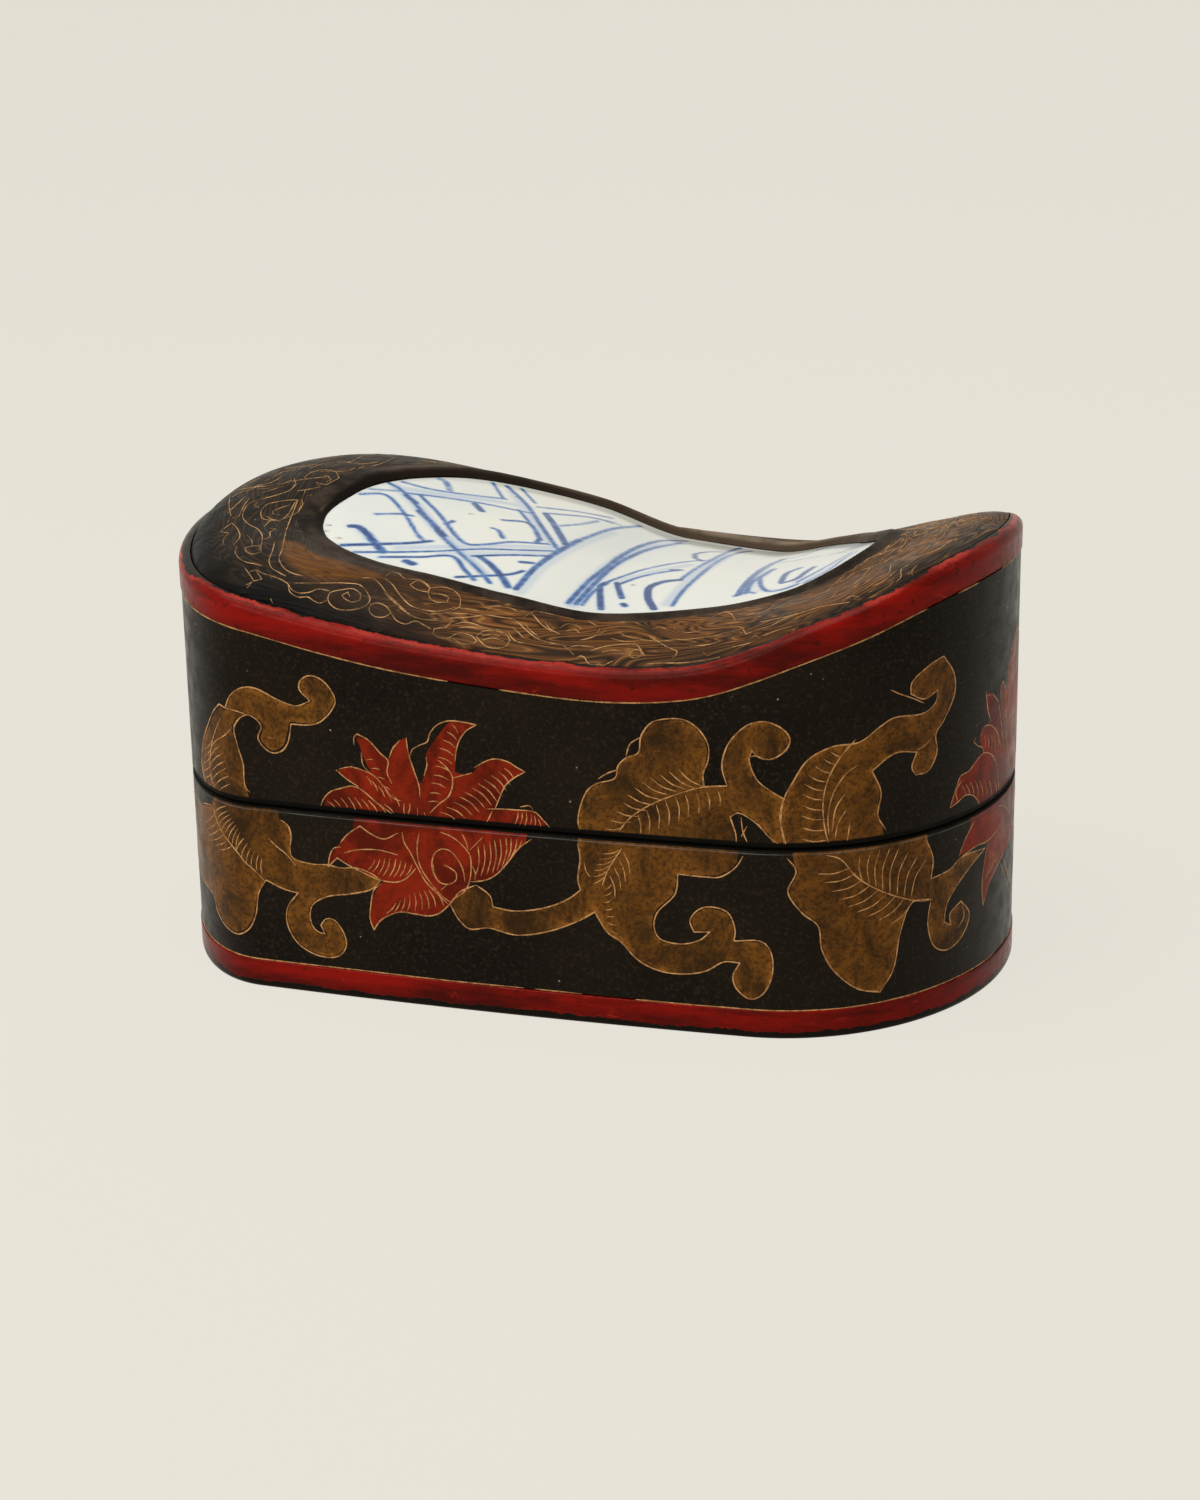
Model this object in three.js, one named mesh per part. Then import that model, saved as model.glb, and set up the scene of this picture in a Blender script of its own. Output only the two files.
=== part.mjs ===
// A lacquered wooden box with a saddle-shaped lid, whose top holds a piece of broken porcelain.
// Millimetres, +Z up, X along the length, -Y the front. The origin is under the middle of the box.

import * as THREE from "three";

// Overall plan: bowed long sides that run smoothly into a tighter left end and a longer right end
const boxLength = 180;
const boxDepth = 105.6;
const sideBow = 6.7;
const bowCentreX = 32;
const leftEndRun = 26.7;
const rightEndRun = 46.5;

// Walls, floor and the joint between base and lid
const wallThickness = 5;
const floorThickness = 3.6;
const seamHeight = 41.1;
const seamGap = 0.3;
const seamEdgeRun = 0.8;
const seamEdgeRise = 0.9;
const fitGap = 0.3;

// Inner collar that the lid slips over
const collarThickness = 1.9;
const collarRise = 7.5;
const collarSeatDepth = 15;
const collarLeadIn = 0.5;

// Red bands, each glued into a rebate
const bandRebate = 1.5;
const bandProud = 0.25;
const footBandHeight = 6.1;
const footBandRound = 1;
const edgeBandHeight = 6.6;
const edgeBandRound = 2.2;
const edgeBandOverlap = 2.4;
const edgeBandLip = 1.6;

// The points of the bands' rounded corners, as [run, drop] shares of the corner's size
const footBandCorner = [[0.05, 0.6], [0.3, 1]];
const edgeBandCorner = [[0.06, 0.45], [0.4, 0.12]];

// Lid board: how deep it seats, how much wood stays under the porcelain, and the roll of its shoulder,
// whose top lies nearer the outer edge the smaller its earliness is
const boardSeatDrop = 4;
const boardUnderPocket = 3.6;
const boardRollRise = 0.4;
const leftDomeRise = 3.7;
const rollEarliness = 0.67;
const shoulderFullness = 1.25;

// Porcelain piece, its bed and the raised ring of lacquer putty round it
const endRimsLength = 60;
const sideRimsWidth = 34.7;
const shardLength = boxLength - endRimsLength;
const shardWidth = boxDepth - sideRimsWidth;
const shardCentreX = 6.8;
const shardCentreY = 3.9;
const shardThickness = 4.5;
const shardCrown = 3;
const shardEdgeRound = 0.7;
const puttyBedThickness = 0.8;
const bezelCrestOffset = 2;
const bezelOuterRun = 3;
const bezelProud = 0.35;
const bezelSeatDepth = 1.5;
const bezelLip = 1;
const bezelMiddleShare = 0.7;
const bezelInnerShare = 0.3;

// The broken outline: how far the porcelain reaches past an even oval, from +X round by +Y in equal turns
const shardReach = [0.893, 0.923, 1.124, 1.128, 1.121, 1.027, 1.054, 1.2, 1.149, 1.054, 0.958, 0.904];

// The saddle: heights of the lid's outer edge, and of the ring's crest along its near and far lines, along X
const edgeStations = [
  [-90, 91.5], [-76, 88.6], [-62, 87.5], [-42, 83.6], [-20, 80.1], [5, 77.8], [25, 76.9],
  [38, 77.7], [48, 79.7], [58, 84.2], [68, 88.6], [78, 92.6], [90, 99.2],
];
const crestNearStations = [
  [-66, 87], [-50, 88.8], [-30, 88.6], [-10, 86.1], [10, 83.2], [30, 84.6], [46, 87.4], [60, 94.4], [75, 103.2],
];
const crestFarStations = [
  [-66, 106.8], [-50, 99.6], [-30, 91.8], [-10, 85.8], [10, 79.1], [30, 77.7], [46, 81.6], [60, 88.1], [75, 99.7],
];
const edgeSkew = 0.21;
const crestLineSpread = 80;

// How finely the curves are divided
const cornerSteps = 11;
const sideSteps = 7;
const shoulderSteps = 6;
const pocketRings = 5;

const halfLength = boxLength / 2;
const halfDepth = boxDepth / 2 - sideBow;

// A smooth curve through [place, height] stations, which stays level beyond its two ends
function stationCurve(stations) {
  const slopes = stations.map((station, i) => {
    if (i === 0 || i === stations.length - 1) return 0;
    const before = (station[1] - stations[i - 1][1]) / (station[0] - stations[i - 1][0]);
    const after = (stations[i + 1][1] - station[1]) / (stations[i + 1][0] - station[0]);
    return before * after > 0 ? (2 * before * after) / (before + after) : 0;
  });
  return (place) => {
    const first = stations[0];
    const last = stations[stations.length - 1];
    if (place <= first[0]) return first[1];
    if (place >= last[0]) return last[1];
    const i = stations.findIndex((station) => station[0] > place) - 1;
    const span = stations[i + 1][0] - stations[i][0];
    const t = (place - stations[i][0]) / span;
    const rise = stations[i + 1][1] - stations[i][1];
    const smooth = t * t * (3 - 2 * t);
    const leaving = t * (1 - t) * (1 - t) * slopes[i] * span;
    const arriving = t * t * (t - 1) * slopes[i + 1] * span;
    return stations[i][1] + rise * smooth + leaving + arriving;
  };
}

const edgeCurve = stationCurve(edgeStations);
const crestNearCurve = stationCurve(crestNearStations);
const crestFarCurve = stationCurve(crestFarStations);

function edgeHeight(x, y) {
  return edgeCurve(x - edgeSkew * y);
}

function crestHeight(x, y) {
  const farShare = THREE.MathUtils.clamp(y / crestLineSpread + 0.5, 0, 1);
  return THREE.MathUtils.lerp(crestNearCurve(x), crestFarCurve(x), farShare);
}

// The places round the plan outline, each with the centre of its corner and its share of the corner's run
function planStations() {
  const stations = [];
  const quarter = Math.PI / 2;
  const corners = [
    { side: -1, front: -1, run: leftEndRun },
    { side: 1, front: -1, run: rightEndRun },
    { side: 1, front: 1, run: rightEndRun },
    { side: -1, front: 1, run: leftEndRun },
  ];
  corners.forEach((corner, i) => {
    const startsAtEnd = corner.side * corner.front > 0;
    for (let step = 0; step < cornerSteps; step++) {
      const turn = (quarter * step) / cornerSteps;
      const angle = startsAtEnd ? turn : quarter - turn;
      stations.push({
        centreX: corner.side * (halfLength - corner.run),
        run: corner.run,
        shareX: corner.side * Math.cos(angle),
        shareY: corner.front * Math.sin(angle),
      });
    }
    if (!startsAtEnd) return;
    const next = corners[(i + 1) % corners.length];
    const from = corner.side * (halfLength - corner.run);
    const to = next.side * (halfLength - next.run);
    for (let step = 0; step < sideSteps; step++) {
      stations.push({
        centreX: from + ((to - from) * step) / sideSteps,
        run: corner.run,
        shareX: 0,
        shareY: corner.front,
      });
    }
  });
  return stations;
}

// The plan point at a station, a given distance inside the outline
function planPoint(station, inset) {
  const x = station.centreX + station.shareX * (station.run - inset);
  const flatY = station.shareY * (halfDepth - inset);
  const fromBowCentre = (x - bowCentreX) / (halfLength + bowCentreX);
  const bow = sideBow * (1 - fromBowCentre ** 2) * station.shareY;
  return new THREE.Vector2(x, flatY + bow);
}

// The porcelain's reach in a direction, as a smooth closed curve through its values
function reachAt(angle) {
  const count = shardReach.length;
  const place = (angle / (2 * Math.PI) + 1) * count;
  const first = Math.floor(place);
  const t = place - first;
  const [before, from, to, after] = [-1, 0, 1, 2].map((step) => shardReach[(first + step) % count]);
  const bend = 2 * before - 5 * from + 4 * to - after;
  const twist = 3 * from - before - 3 * to + after;
  return from + 0.5 * t * (to - before + t * (bend + t * twist));
}

// The porcelain's plan outline in a station's direction, grown by a given distance
function shardPoint(station, growth) {
  const outer = planPoint(station, 0);
  const angle = Math.atan2(outer.y / halfDepth, outer.x / halfLength);
  const reach = reachAt(angle);
  return new THREE.Vector2(
    shardCentreX + Math.cos(angle) * ((reach * shardLength) / 2 + growth),
    shardCentreY + Math.sin(angle) * ((reach * shardWidth) / 2 + growth),
  );
}

function shardCentre() {
  return new THREE.Vector2(shardCentreX, shardCentreY);
}

// Height of the porcelain's glazed face, where radius is 0 at its centre and 1 at its edge
function glazeHeight(point, radius) {
  return crestHeight(point.x, point.y) - bezelLip + shardCrown * (1 - radius * radius);
}

// A point of the lid's shoulder between its outer edge (share 0) and the ring's crest (share 1)
function shoulderPoint(station, share) {
  const outer = planPoint(station, edgeBandOverlap + fitGap);
  const crest = shardPoint(station, bezelCrestOffset);
  const plan = outer.clone().lerp(crest, share);
  const edge = edgeHeight(outer.x, outer.y);
  const rise = crestHeight(crest.x, crest.y) - edge;
  const fullArch = (1 - (1 - share) ** shoulderFullness) ** (1 / shoulderFullness);
  const sweep = share * share * (3 - 2 * share);
  const leftness = THREE.MathUtils.smoothstep(-outer.x, leftEndRun, halfLength);
  const roll = (boardRollRise + leftDomeRise * leftness) * Math.sin(Math.PI * share ** rollEarliness);
  return new THREE.Vector3(plan.x, plan.y, edge + rise * (rise > 0 ? fullArch : sweep) + roll);
}

// The share of the shoulder that ends at a given distance outside the ring's crest
function shoulderShare(station, distance) {
  const outer = planPoint(station, edgeBandOverlap + fitGap);
  const crest = shardPoint(station, bezelCrestOffset);
  return 1 - distance / outer.distanceTo(crest);
}

function raised(point, rise) {
  return new THREE.Vector3(point.x, point.y, point.z + rise);
}

// A closed body whose faces are turned to point out, by the sign of its volume
function closedGeometry(points, triangles) {
  let volume = 0;
  for (const [a, b, c] of triangles) volume += points[a].dot(points[b].clone().cross(points[c]));
  const facingOut = volume > 0 ? triangles : triangles.map(([a, b, c]) => [a, c, b]);
  const geometry = new THREE.BufferGeometry();
  geometry.setFromPoints(points);
  geometry.setIndex(facingOut.flat());
  geometry.computeVertexNormals();
  return geometry;
}

// The two triangles of a four-cornered face, split along its shorter diagonal
function faceTriangles(points, [a, b, c, d]) {
  const splitAtFirst = points[a].distanceTo(points[c]) < points[b].distanceTo(points[d]);
  return splitAtFirst ? [[a, b, c], [a, c, d]] : [[a, b, d], [b, c, d]];
}

// A closed ring: the same section, a loop of points, follows the stations round the box
function ringLoft(sectionAt) {
  const sections = planStations().map(sectionAt);
  const count = sections[0].length;
  const points = sections.flat();
  const triangles = [];
  sections.forEach((section, i) => {
    const here = i * count;
    const next = ((i + 1) % sections.length) * count;
    for (let k = 0; k < count; k++) {
      const after = (k + 1) % count;
      triangles.push(...faceTriangles(points, [here + k, next + k, next + after, here + after]));
    }
  });
  return closedGeometry(points, triangles);
}

// A closed slab: a line of points at each station, from a shared top centre round to a shared bottom centre
function slabLoft(top, bottom, lineAt) {
  const lines = planStations().map(lineAt);
  const count = lines[0].length;
  const points = [top, bottom, ...lines.flat()];
  const triangles = [];
  lines.forEach((line, i) => {
    const here = 2 + i * count;
    const next = 2 + ((i + 1) % lines.length) * count;
    triangles.push([0, here, next], [1, next + count - 1, here + count - 1]);
    for (let k = 0; k < count - 1; k++) {
      triangles.push(...faceTriangles(points, [here + k, here + k + 1, next + k + 1, next + k]));
    }
  });
  return closedGeometry(points, triangles);
}

// A loop of [inset, height] pairs at a station as points in space
function wallSection(station, pairs) {
  return pairs.map(([inset, height]) => {
    const plan = planPoint(station, inset);
    return new THREE.Vector3(plan.x, plan.y, height);
  });
}

// The lid's edge height at a station, where its band, wall and board meet
function stationEdge(station) {
  const outer = planPoint(station, edgeBandOverlap + fitGap);
  return edgeHeight(outer.x, outer.y);
}

function baseFloor() {
  const flat = (height) => new THREE.Vector3(0, 0, height);
  return slabLoft(flat(floorThickness), flat(0), (station) =>
    wallSection(station, [
      [bandRebate, floorThickness],
      [bandRebate, 0],
    ]),
  );
}

function baseWall() {
  const bandTop = footBandHeight + fitGap;
  return ringLoft((station) =>
    wallSection(station, [
      [bandRebate, floorThickness],
      [wallThickness, floorThickness],
      [wallThickness, seamHeight],
      [seamEdgeRun, seamHeight],
      [0, seamHeight - seamEdgeRise],
      [0, bandTop],
      [bandRebate, bandTop],
    ]),
  );
}

function baseCollar() {
  const outer = wallThickness + fitGap;
  const inner = outer + collarThickness;
  const bottom = seamHeight - collarSeatDepth;
  const top = seamHeight + collarRise;
  return ringLoft((station) =>
    wallSection(station, [
      [outer, bottom],
      [inner, bottom],
      [inner, top],
      [outer + collarLeadIn, top],
      [outer, top - 2 * collarLeadIn],
    ]),
  );
}

function baseFootBand() {
  const inner = bandRebate - fitGap;
  return ringLoft((station) =>
    wallSection(station, [
      [inner, 0],
      [inner, footBandHeight],
      [0, footBandHeight],
      [-bandProud, footBandHeight - bandProud],
      [-bandProud, footBandRound],
      ...footBandCorner.map(([run, drop]) => [footBandRound * run, footBandRound * (1 - drop)]),
    ]),
  );
}

function lidWall() {
  const bottom = seamHeight + seamGap;
  return ringLoft((station) => {
    const bandBottom = stationEdge(station) - edgeBandHeight - fitGap;
    const top = stationEdge(station) - boardSeatDrop;
    return wallSection(station, [
      [seamEdgeRun, bottom],
      [wallThickness, bottom],
      [wallThickness, top],
      [bandRebate, top],
      [bandRebate, bandBottom],
      [0, bandBottom],
      [0, bottom + seamEdgeRise],
    ]);
  });
}

function lidEdgeBand() {
  const inner = bandRebate - fitGap;
  const round = edgeBandRound;
  return ringLoft((station) => {
    const top = stationEdge(station);
    return wallSection(station, [
      [inner, top - edgeBandHeight],
      [0, top - edgeBandHeight],
      [-bandProud, top - edgeBandHeight + bandProud],
      [-bandProud, top - round],
      ...edgeBandCorner.map(([run, drop]) => [round * run, top - round * drop]),
      [edgeBandOverlap, top],
      [edgeBandOverlap, top - edgeBandLip],
      [inner, top - edgeBandLip],
    ]);
  });
}

// The lid's carved board, from the middle of its pocket out over the shoulder and back underneath
function lidTopBoard() {
  const pocketDepth = shardThickness + puttyBedThickness + 2 * fitGap;
  const pocketFloor = (point, radius, drop) =>
    new THREE.Vector3(point.x, point.y, glazeHeight(point, radius) - pocketDepth - drop);
  const centre = shardCentre();
  const top = pocketFloor(centre, 0, 0);
  const bottom = pocketFloor(centre, 0, boardUnderPocket);
  return slabLoft(top, bottom, (station) => {
    const line = [];
    const sheetEdge = shardPoint(station, 0);
    const pocketEdge = shardPoint(station, fitGap);
    for (let ring = 1; ring <= pocketRings; ring++) {
      const radius = ring / pocketRings;
      line.push(pocketFloor(centre.clone().lerp(sheetEdge, radius), radius, 0));
    }
    line.push(pocketFloor(pocketEdge, 1, 0));
    const seatShare = shoulderShare(station, bezelOuterRun);
    const crest = shoulderPoint(station, 1);
    line.push(new THREE.Vector3(pocketEdge.x, pocketEdge.y, crest.z - bezelLip - bezelSeatDepth));
    line.push(raised(shoulderPoint(station, seatShare), -bezelSeatDepth));
    for (let step = shoulderSteps; step >= 0; step--) {
      line.push(shoulderPoint(station, (seatShare * step) / shoulderSteps));
    }
    const edge = stationEdge(station);
    const seat = edge - boardSeatDrop + fitGap;
    const underLip = edge - edgeBandLip - fitGap;
    line.push(
      ...wallSection(station, [
        [edgeBandOverlap + fitGap, underLip],
        [bandRebate, underLip],
        [bandRebate, seat],
        [wallThickness + fitGap, seat],
      ]),
    );
    for (let ring = pocketRings; ring >= 1; ring--) {
      const radius = ring / pocketRings;
      line.push(pocketFloor(centre.clone().lerp(pocketEdge, radius), radius, boardUnderPocket));
    }
    return line;
  });
}

// A curved sheet under the porcelain's face: upper and lower faces lie below the glaze by the given drops
function curvedSheet(upperDrop, lowerDrop, growth, edgeRound) {
  const centre = shardCentre();
  const pointAt = (plan, radius, drop) =>
    new THREE.Vector3(plan.x, plan.y, glazeHeight(plan, radius) - drop);
  return slabLoft(pointAt(centre, 0, upperDrop), pointAt(centre, 0, lowerDrop), (station) => {
    const edge = shardPoint(station, growth);
    const inside = shardPoint(station, growth - edgeRound);
    const line = [];
    for (let ring = 1; ring <= pocketRings; ring++) {
      const radius = ring / pocketRings;
      line.push(pointAt(centre.clone().lerp(inside, radius), radius, upperDrop));
    }
    if (edgeRound > 0) line.push(pointAt(edge, 1, upperDrop + edgeRound));
    for (let ring = pocketRings; ring >= 1; ring--) {
      const radius = ring / pocketRings;
      line.push(pointAt(centre.clone().lerp(edge, radius), radius, lowerDrop));
    }
    return line;
  });
}

function porcelainShard() {
  return curvedSheet(0, shardThickness, 0, shardEdgeRound);
}

function shardPuttyBed() {
  const top = shardThickness + fitGap;
  return curvedSheet(top, top + puttyBedThickness, 0, 0);
}

// The raised ring of putty: it seats in the board's rebate and rolls down to the porcelain's edge
function shardBezel() {
  return ringLoft((station) => {
    const outerShare = shoulderShare(station, bezelOuterRun - fitGap);
    const middleShare = shoulderShare(station, bezelOuterRun / 2);
    const outer = shoulderPoint(station, outerShare);
    const middle = shoulderPoint(station, middleShare);
    const crest = shoulderPoint(station, 1);
    const inner = shardPoint(station, fitGap);
    const seat = crest.z - bezelLip - bezelSeatDepth + fitGap;
    return [
      outer,
      raised(middle, bezelProud * bezelMiddleShare),
      raised(crest, bezelProud),
      new THREE.Vector3(inner.x, inner.y, crest.z - bezelLip * bezelInnerShare),
      new THREE.Vector3(inner.x, inner.y, seat),
      raised(outer, fitGap - bezelSeatDepth),
    ];
  });
}

const blackLacquer = new THREE.MeshStandardMaterial({ color: 0x1c1611, roughness: 0.32, metalness: 0 });
const redLacquer = new THREE.MeshStandardMaterial({ color: 0x8e1a14, roughness: 0.34, metalness: 0 });
const innerLacquer = new THREE.MeshStandardMaterial({ color: 0x120e0c, roughness: 0.5, metalness: 0 });
const putty = new THREE.MeshStandardMaterial({ color: 0x2b221b, roughness: 0.6, metalness: 0 });
const porcelain = new THREE.MeshStandardMaterial({ color: 0xe6e6df, roughness: 0.15, metalness: 0 });

function piece(name, geometry, material) {
  const mesh = new THREE.Mesh(geometry, material);
  mesh.name = name;
  return mesh;
}

const base = new THREE.Group();
base.add(
  piece("base_floor", baseFloor(), innerLacquer),
  piece("base_wall", baseWall(), blackLacquer),
  piece("base_collar", baseCollar(), innerLacquer),
  piece("base_foot_band", baseFootBand(), redLacquer),
);

const lid = new THREE.Group();
lid.add(
  piece("lid_wall", lidWall(), blackLacquer),
  piece("lid_edge_band", lidEdgeBand(), redLacquer),
  piece("lid_top_board", lidTopBoard(), blackLacquer),
  piece("shard_putty_bed", shardPuttyBed(), putty),
  piece("porcelain_shard", porcelainShard(), porcelain),
  piece("shard_bezel", shardBezel(), blackLacquer),
);

const box = new THREE.Group();
box.add(base, lid);

export default box;
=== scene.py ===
import math
from functools import cached_property

import bpy
import numpy as np
from mathutils import Matrix, Vector
from mathutils.bvhtree import BVHTree


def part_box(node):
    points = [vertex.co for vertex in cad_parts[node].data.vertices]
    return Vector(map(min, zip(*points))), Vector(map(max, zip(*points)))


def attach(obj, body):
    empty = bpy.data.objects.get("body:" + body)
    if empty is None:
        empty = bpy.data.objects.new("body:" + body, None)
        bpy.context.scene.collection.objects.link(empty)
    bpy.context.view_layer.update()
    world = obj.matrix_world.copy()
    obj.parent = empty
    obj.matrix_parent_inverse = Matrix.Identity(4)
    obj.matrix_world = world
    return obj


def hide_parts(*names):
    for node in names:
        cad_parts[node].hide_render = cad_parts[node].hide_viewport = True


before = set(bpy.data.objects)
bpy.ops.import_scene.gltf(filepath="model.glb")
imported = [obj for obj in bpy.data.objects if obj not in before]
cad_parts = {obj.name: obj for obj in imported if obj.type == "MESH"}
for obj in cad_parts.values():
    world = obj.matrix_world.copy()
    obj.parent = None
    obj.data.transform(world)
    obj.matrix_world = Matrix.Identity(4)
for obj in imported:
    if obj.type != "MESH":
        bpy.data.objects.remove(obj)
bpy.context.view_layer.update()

# The lacquer box's visible surfaces. Lengths are millimetres and turn to metres where a mesh is made.
METRE = 0.001


def node_span(node, axis):
    low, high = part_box(node)
    return (high[axis] - low[axis]) / METRE


# Plan outline, taken from the frame where it shows it
BOX_LENGTH = node_span("base_wall", 0)
BOX_DEPTH = node_span("base_wall", 1)
SIDE_BOW = 6.7
BOW_CENTRE_X = 32
LEFT_END_RUN = 26.7
RIGHT_END_RUN = 46.5
HALF_LENGTH = BOX_LENGTH / 2
HALF_DEPTH = BOX_DEPTH / 2 - SIDE_BOW

# Walls, seam, collar and bands
WALL_THICKNESS = 5
FLOOR_THICKNESS = 3.6
SEAM_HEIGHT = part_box("base_wall")[1][2] / METRE
SEAM_GAP = 0.3
SEAM_EDGE_RUN = 0.8
SEAM_EDGE_RISE = 0.9
FIT_GAP = 0.3
COLLAR_THICKNESS = 1.9
COLLAR_LEAD_IN = 0.5
BAND_REBATE = 1.5
BAND_PROUD = 0.25
FOOT_BAND_HEIGHT = 6.1
FOOT_BAND_ROUND = 1
EDGE_BAND_HEIGHT = 6.6
EDGE_BAND_ROUND = 2.2
EDGE_BAND_OVERLAP = 2.4
EDGE_BAND_LIP = 1.6

# Lid board, porcelain and bezel
BOARD_SEAT_DROP = 4
BOARD_UNDER_POCKET = 3.6
BOARD_ROLL_RISE = 0.4
LEFT_DOME_RISE = 3.7
ROLL_EARLINESS = 0.67
SHOULDER_FULLNESS = 1.25
SHARD_LENGTH = BOX_LENGTH - 60
SHARD_WIDTH = BOX_DEPTH - 34.7
SHARD_CENTRE = np.array([6.8, 3.9])
SHARD_THICKNESS = 4.5
SHARD_CROWN = 3
SHARD_EDGE_ROUND = 0.7
PUTTY_BED_THICKNESS = 0.8
BEZEL_CREST_OFFSET = 2
BEZEL_OUTER_RUN = 3
BEZEL_SOFT_RISE = 0.3
BEZEL_BLEND = 0.05
LAP_REACH = 0.55
LAP_THICKNESS = 0.12
LAP_WAVES = (3, 7, 13, 23, 41, 67)
BEZEL_SEAT_DEPTH = 1.5
BEZEL_LIP = 1
POCKET_DEPTH = SHARD_THICKNESS + PUTTY_BED_THICKNESS + 2 * FIT_GAP
SHARD_REACH = [0.893, 0.923, 1.124, 1.128, 1.121, 1.027, 1.054, 1.2, 1.149, 1.054, 0.958, 0.904]

# The saddle's height lines along X, as in the solids
EDGE_STATIONS = [
    (-90, 91.5), (-76, 88.6), (-62, 87.5), (-42, 83.6), (-20, 80.1), (5, 77.8), (25, 76.9),
    (38, 77.7), (48, 79.7), (58, 84.2), (68, 88.6), (78, 92.6), (90, 99.2),
]
CREST_NEAR_STATIONS = [
    (-66, 87), (-50, 88.8), (-30, 88.6), (-10, 86.1), (10, 83.2), (30, 84.6), (46, 87.4),
    (60, 94.4), (75, 103.2),
]
CREST_FAR_STATIONS = [
    (-66, 106.8), (-50, 99.6), (-30, 91.8), (-10, 85.8), (10, 79.1), (30, 77.7), (46, 81.6),
    (60, 88.1), (75, 99.7),
]
EDGE_SKEW = 0.21
CREST_LINE_SPREAD = 80

# How finely the visible surfaces are divided
STATION_COUNT = 720
DENSE_STEPS = 500
EDGE_SMOOTHING = 7
SMOOTHING_STEPS = 7
SHARP_ANGLE = math.radians(38)
SEAM_EDGE_STEPS = 6
LOWER_WALL_ROWS = 52
UPPER_WALL_ROWS = 84
BAND_ROWS = 8
SHOULDER_ROWS = 36
RING_ROWS = 9
LAP_ROWS = 7
GLAZE_ROWS = 100
GLAZE_EDGE_STEPS = 4
BAND_TOP_STEPS = 4
BAND_FOOT_STEPS = 6

# A brush's uneven width: how fast it waves along a line, by how much, and its tips
BRUSH_WAVE_RANGE = (0.05, 0.16)
BRUSH_UNEVENNESS = 0.09
BRUSH_TIP_SHARE = 0.35
BRUSH_TAPER_POINTS = 4
SCROLL_LINE_SHARE = 0.9
PIT_LENGTH = 2

# How bright the red bands are at their low edge, and what their rise and their rounded top add: painted
# shade towards the low edge, a black lower edge of chips and painted contact shadow under the foot band, and
# a painted highlight on the rounded top
FOOT_BAND_UNDERSIDE = 0.3
FOOT_BAND_DARKEST = 0.24
FOOT_BAND_BRIGHTENING = 1.05
FOOT_BAND_BRIGHTEST = 0.8
EDGE_BAND_DARKEST = 0.09
EDGE_BAND_BRIGHTENING = 0.76
EDGE_BAND_TOP_HIGHLIGHT = 0.1

# The putty's uneven edge, as shares of its usual reach over the porcelain
LAP_MIDDLE = 0.5
LAP_UNEVENNESS = 0.45
LAP_LEAST = 0.05
LAP_MOST = 1.5
POCKET_RADII = np.linspace(0.2, 1, 5)
POINT_BLOCK = 4000
SHORTEST = 1e-9

# Gloss of the lacquer, and how many contour lines the rim's pattern has
LINE_GLOSS = 0.2
WALL_GLOSS = 0.08
RIM_GLOSS = 0.05
BAND_GLOSS = 0.08
WARM_REFLECTION = (1, 0.86, 0.7, 1)
RIM_CONTOURS = 21

# Painting sizes, in millimetres, and its limits in the photograph's pixels
CORNER_COSINE = 0.45
FLOW_STRETCH = 44
FLOW_WIDTH = 7
LEFT_LIMIT = 199
LEFT_LIMIT_SLOPE = 0.04
LEFT_BEYOND = 1.2
RIGHT_LIMIT = 1009
RIGHT_RUN = 9
PAST_END = 1.5
BLACK_ROLL_ARC = 45
BLACK_ROLL_FADE = 6
BLACK_ROLL_COVER = 0.14
FILL_REACH = 3.0
SEAM_REACH = 2.6
SEAM_CLEAR = 1.3
LEVEL_SLOPE = 0.5
LINE_EDGE = -0.02
LINE_HEIGHT = 0.05
GOLD_LINE_WIDTH = 0.38
HATCH_WIDTH = 0.31
BAND_LINE_GAP = 0.2
OVERLAP_DEPTH = 0.35
HATCH_BEND = 0.08
RIM_LINE_WIDTH = 0.3
STROKE_SOFTNESS = 0.34
STROKE_BLEED = 0.62
STROKE_SPREAD = 0.98
WASH_SOFTNESS = 0.9
PIT_WIDTH = 0.5
FILL_SPACING = 4.0
STROKE_SPACING = 3.0
HATCH_SPACING = 1.0
BAND_CLEAR = 0.6
BAND_LINE_STEP = 0.6
BAND_LINE_WAVES = (7, 17, 31)
BAND_LINE_WANDER = 0.07
BAND_RUB_WAVES = (3.1, 8.3, 19.7)
BAND_RUB_LIMIT = -1.5
# Painted shade near black on the seam's chamfers and the inner faces, and the thin painted highlight along
# the base's chamfer under the seam
SEAM_SHADE_INSET = 0.12
SEAM_SHADE_RUN = 0.8
SEAM_HIGHLIGHT_DROP = 0.15
SEAM_HIGHLIGHT_REACH = 0.4

# Seeds of the random draws
SEEDS = {"lid": 11, "base": 12, "rim": 13, "bands": 21, "lap": 31}

# The photograph's frame and camera
FRAME_WIDTH = 1200
FRAME_HEIGHT = 1500
SENSOR = 36
FOCAL_PIXELS = 3165
CAMERA_AZIMUTH = math.radians(14.96)
CAMERA_ELEVATION = math.radians(19)
CAMERA_ROLL = math.radians(-1.07)
CAMERA_DISTANCE = 692.8
CAMERA_TARGET = np.array([-0.47, 0, 41.26])
CAMERA_CLIP_END = 20

# Backdrop and light
PAPER = (231, 227, 216)
FLOOR_REACH = 6000
FLOOR_GLOW = 0.92
WORLD_LIGHT = 0.45
LIGHT_TARGET = (0, 0, 0.05)

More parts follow.
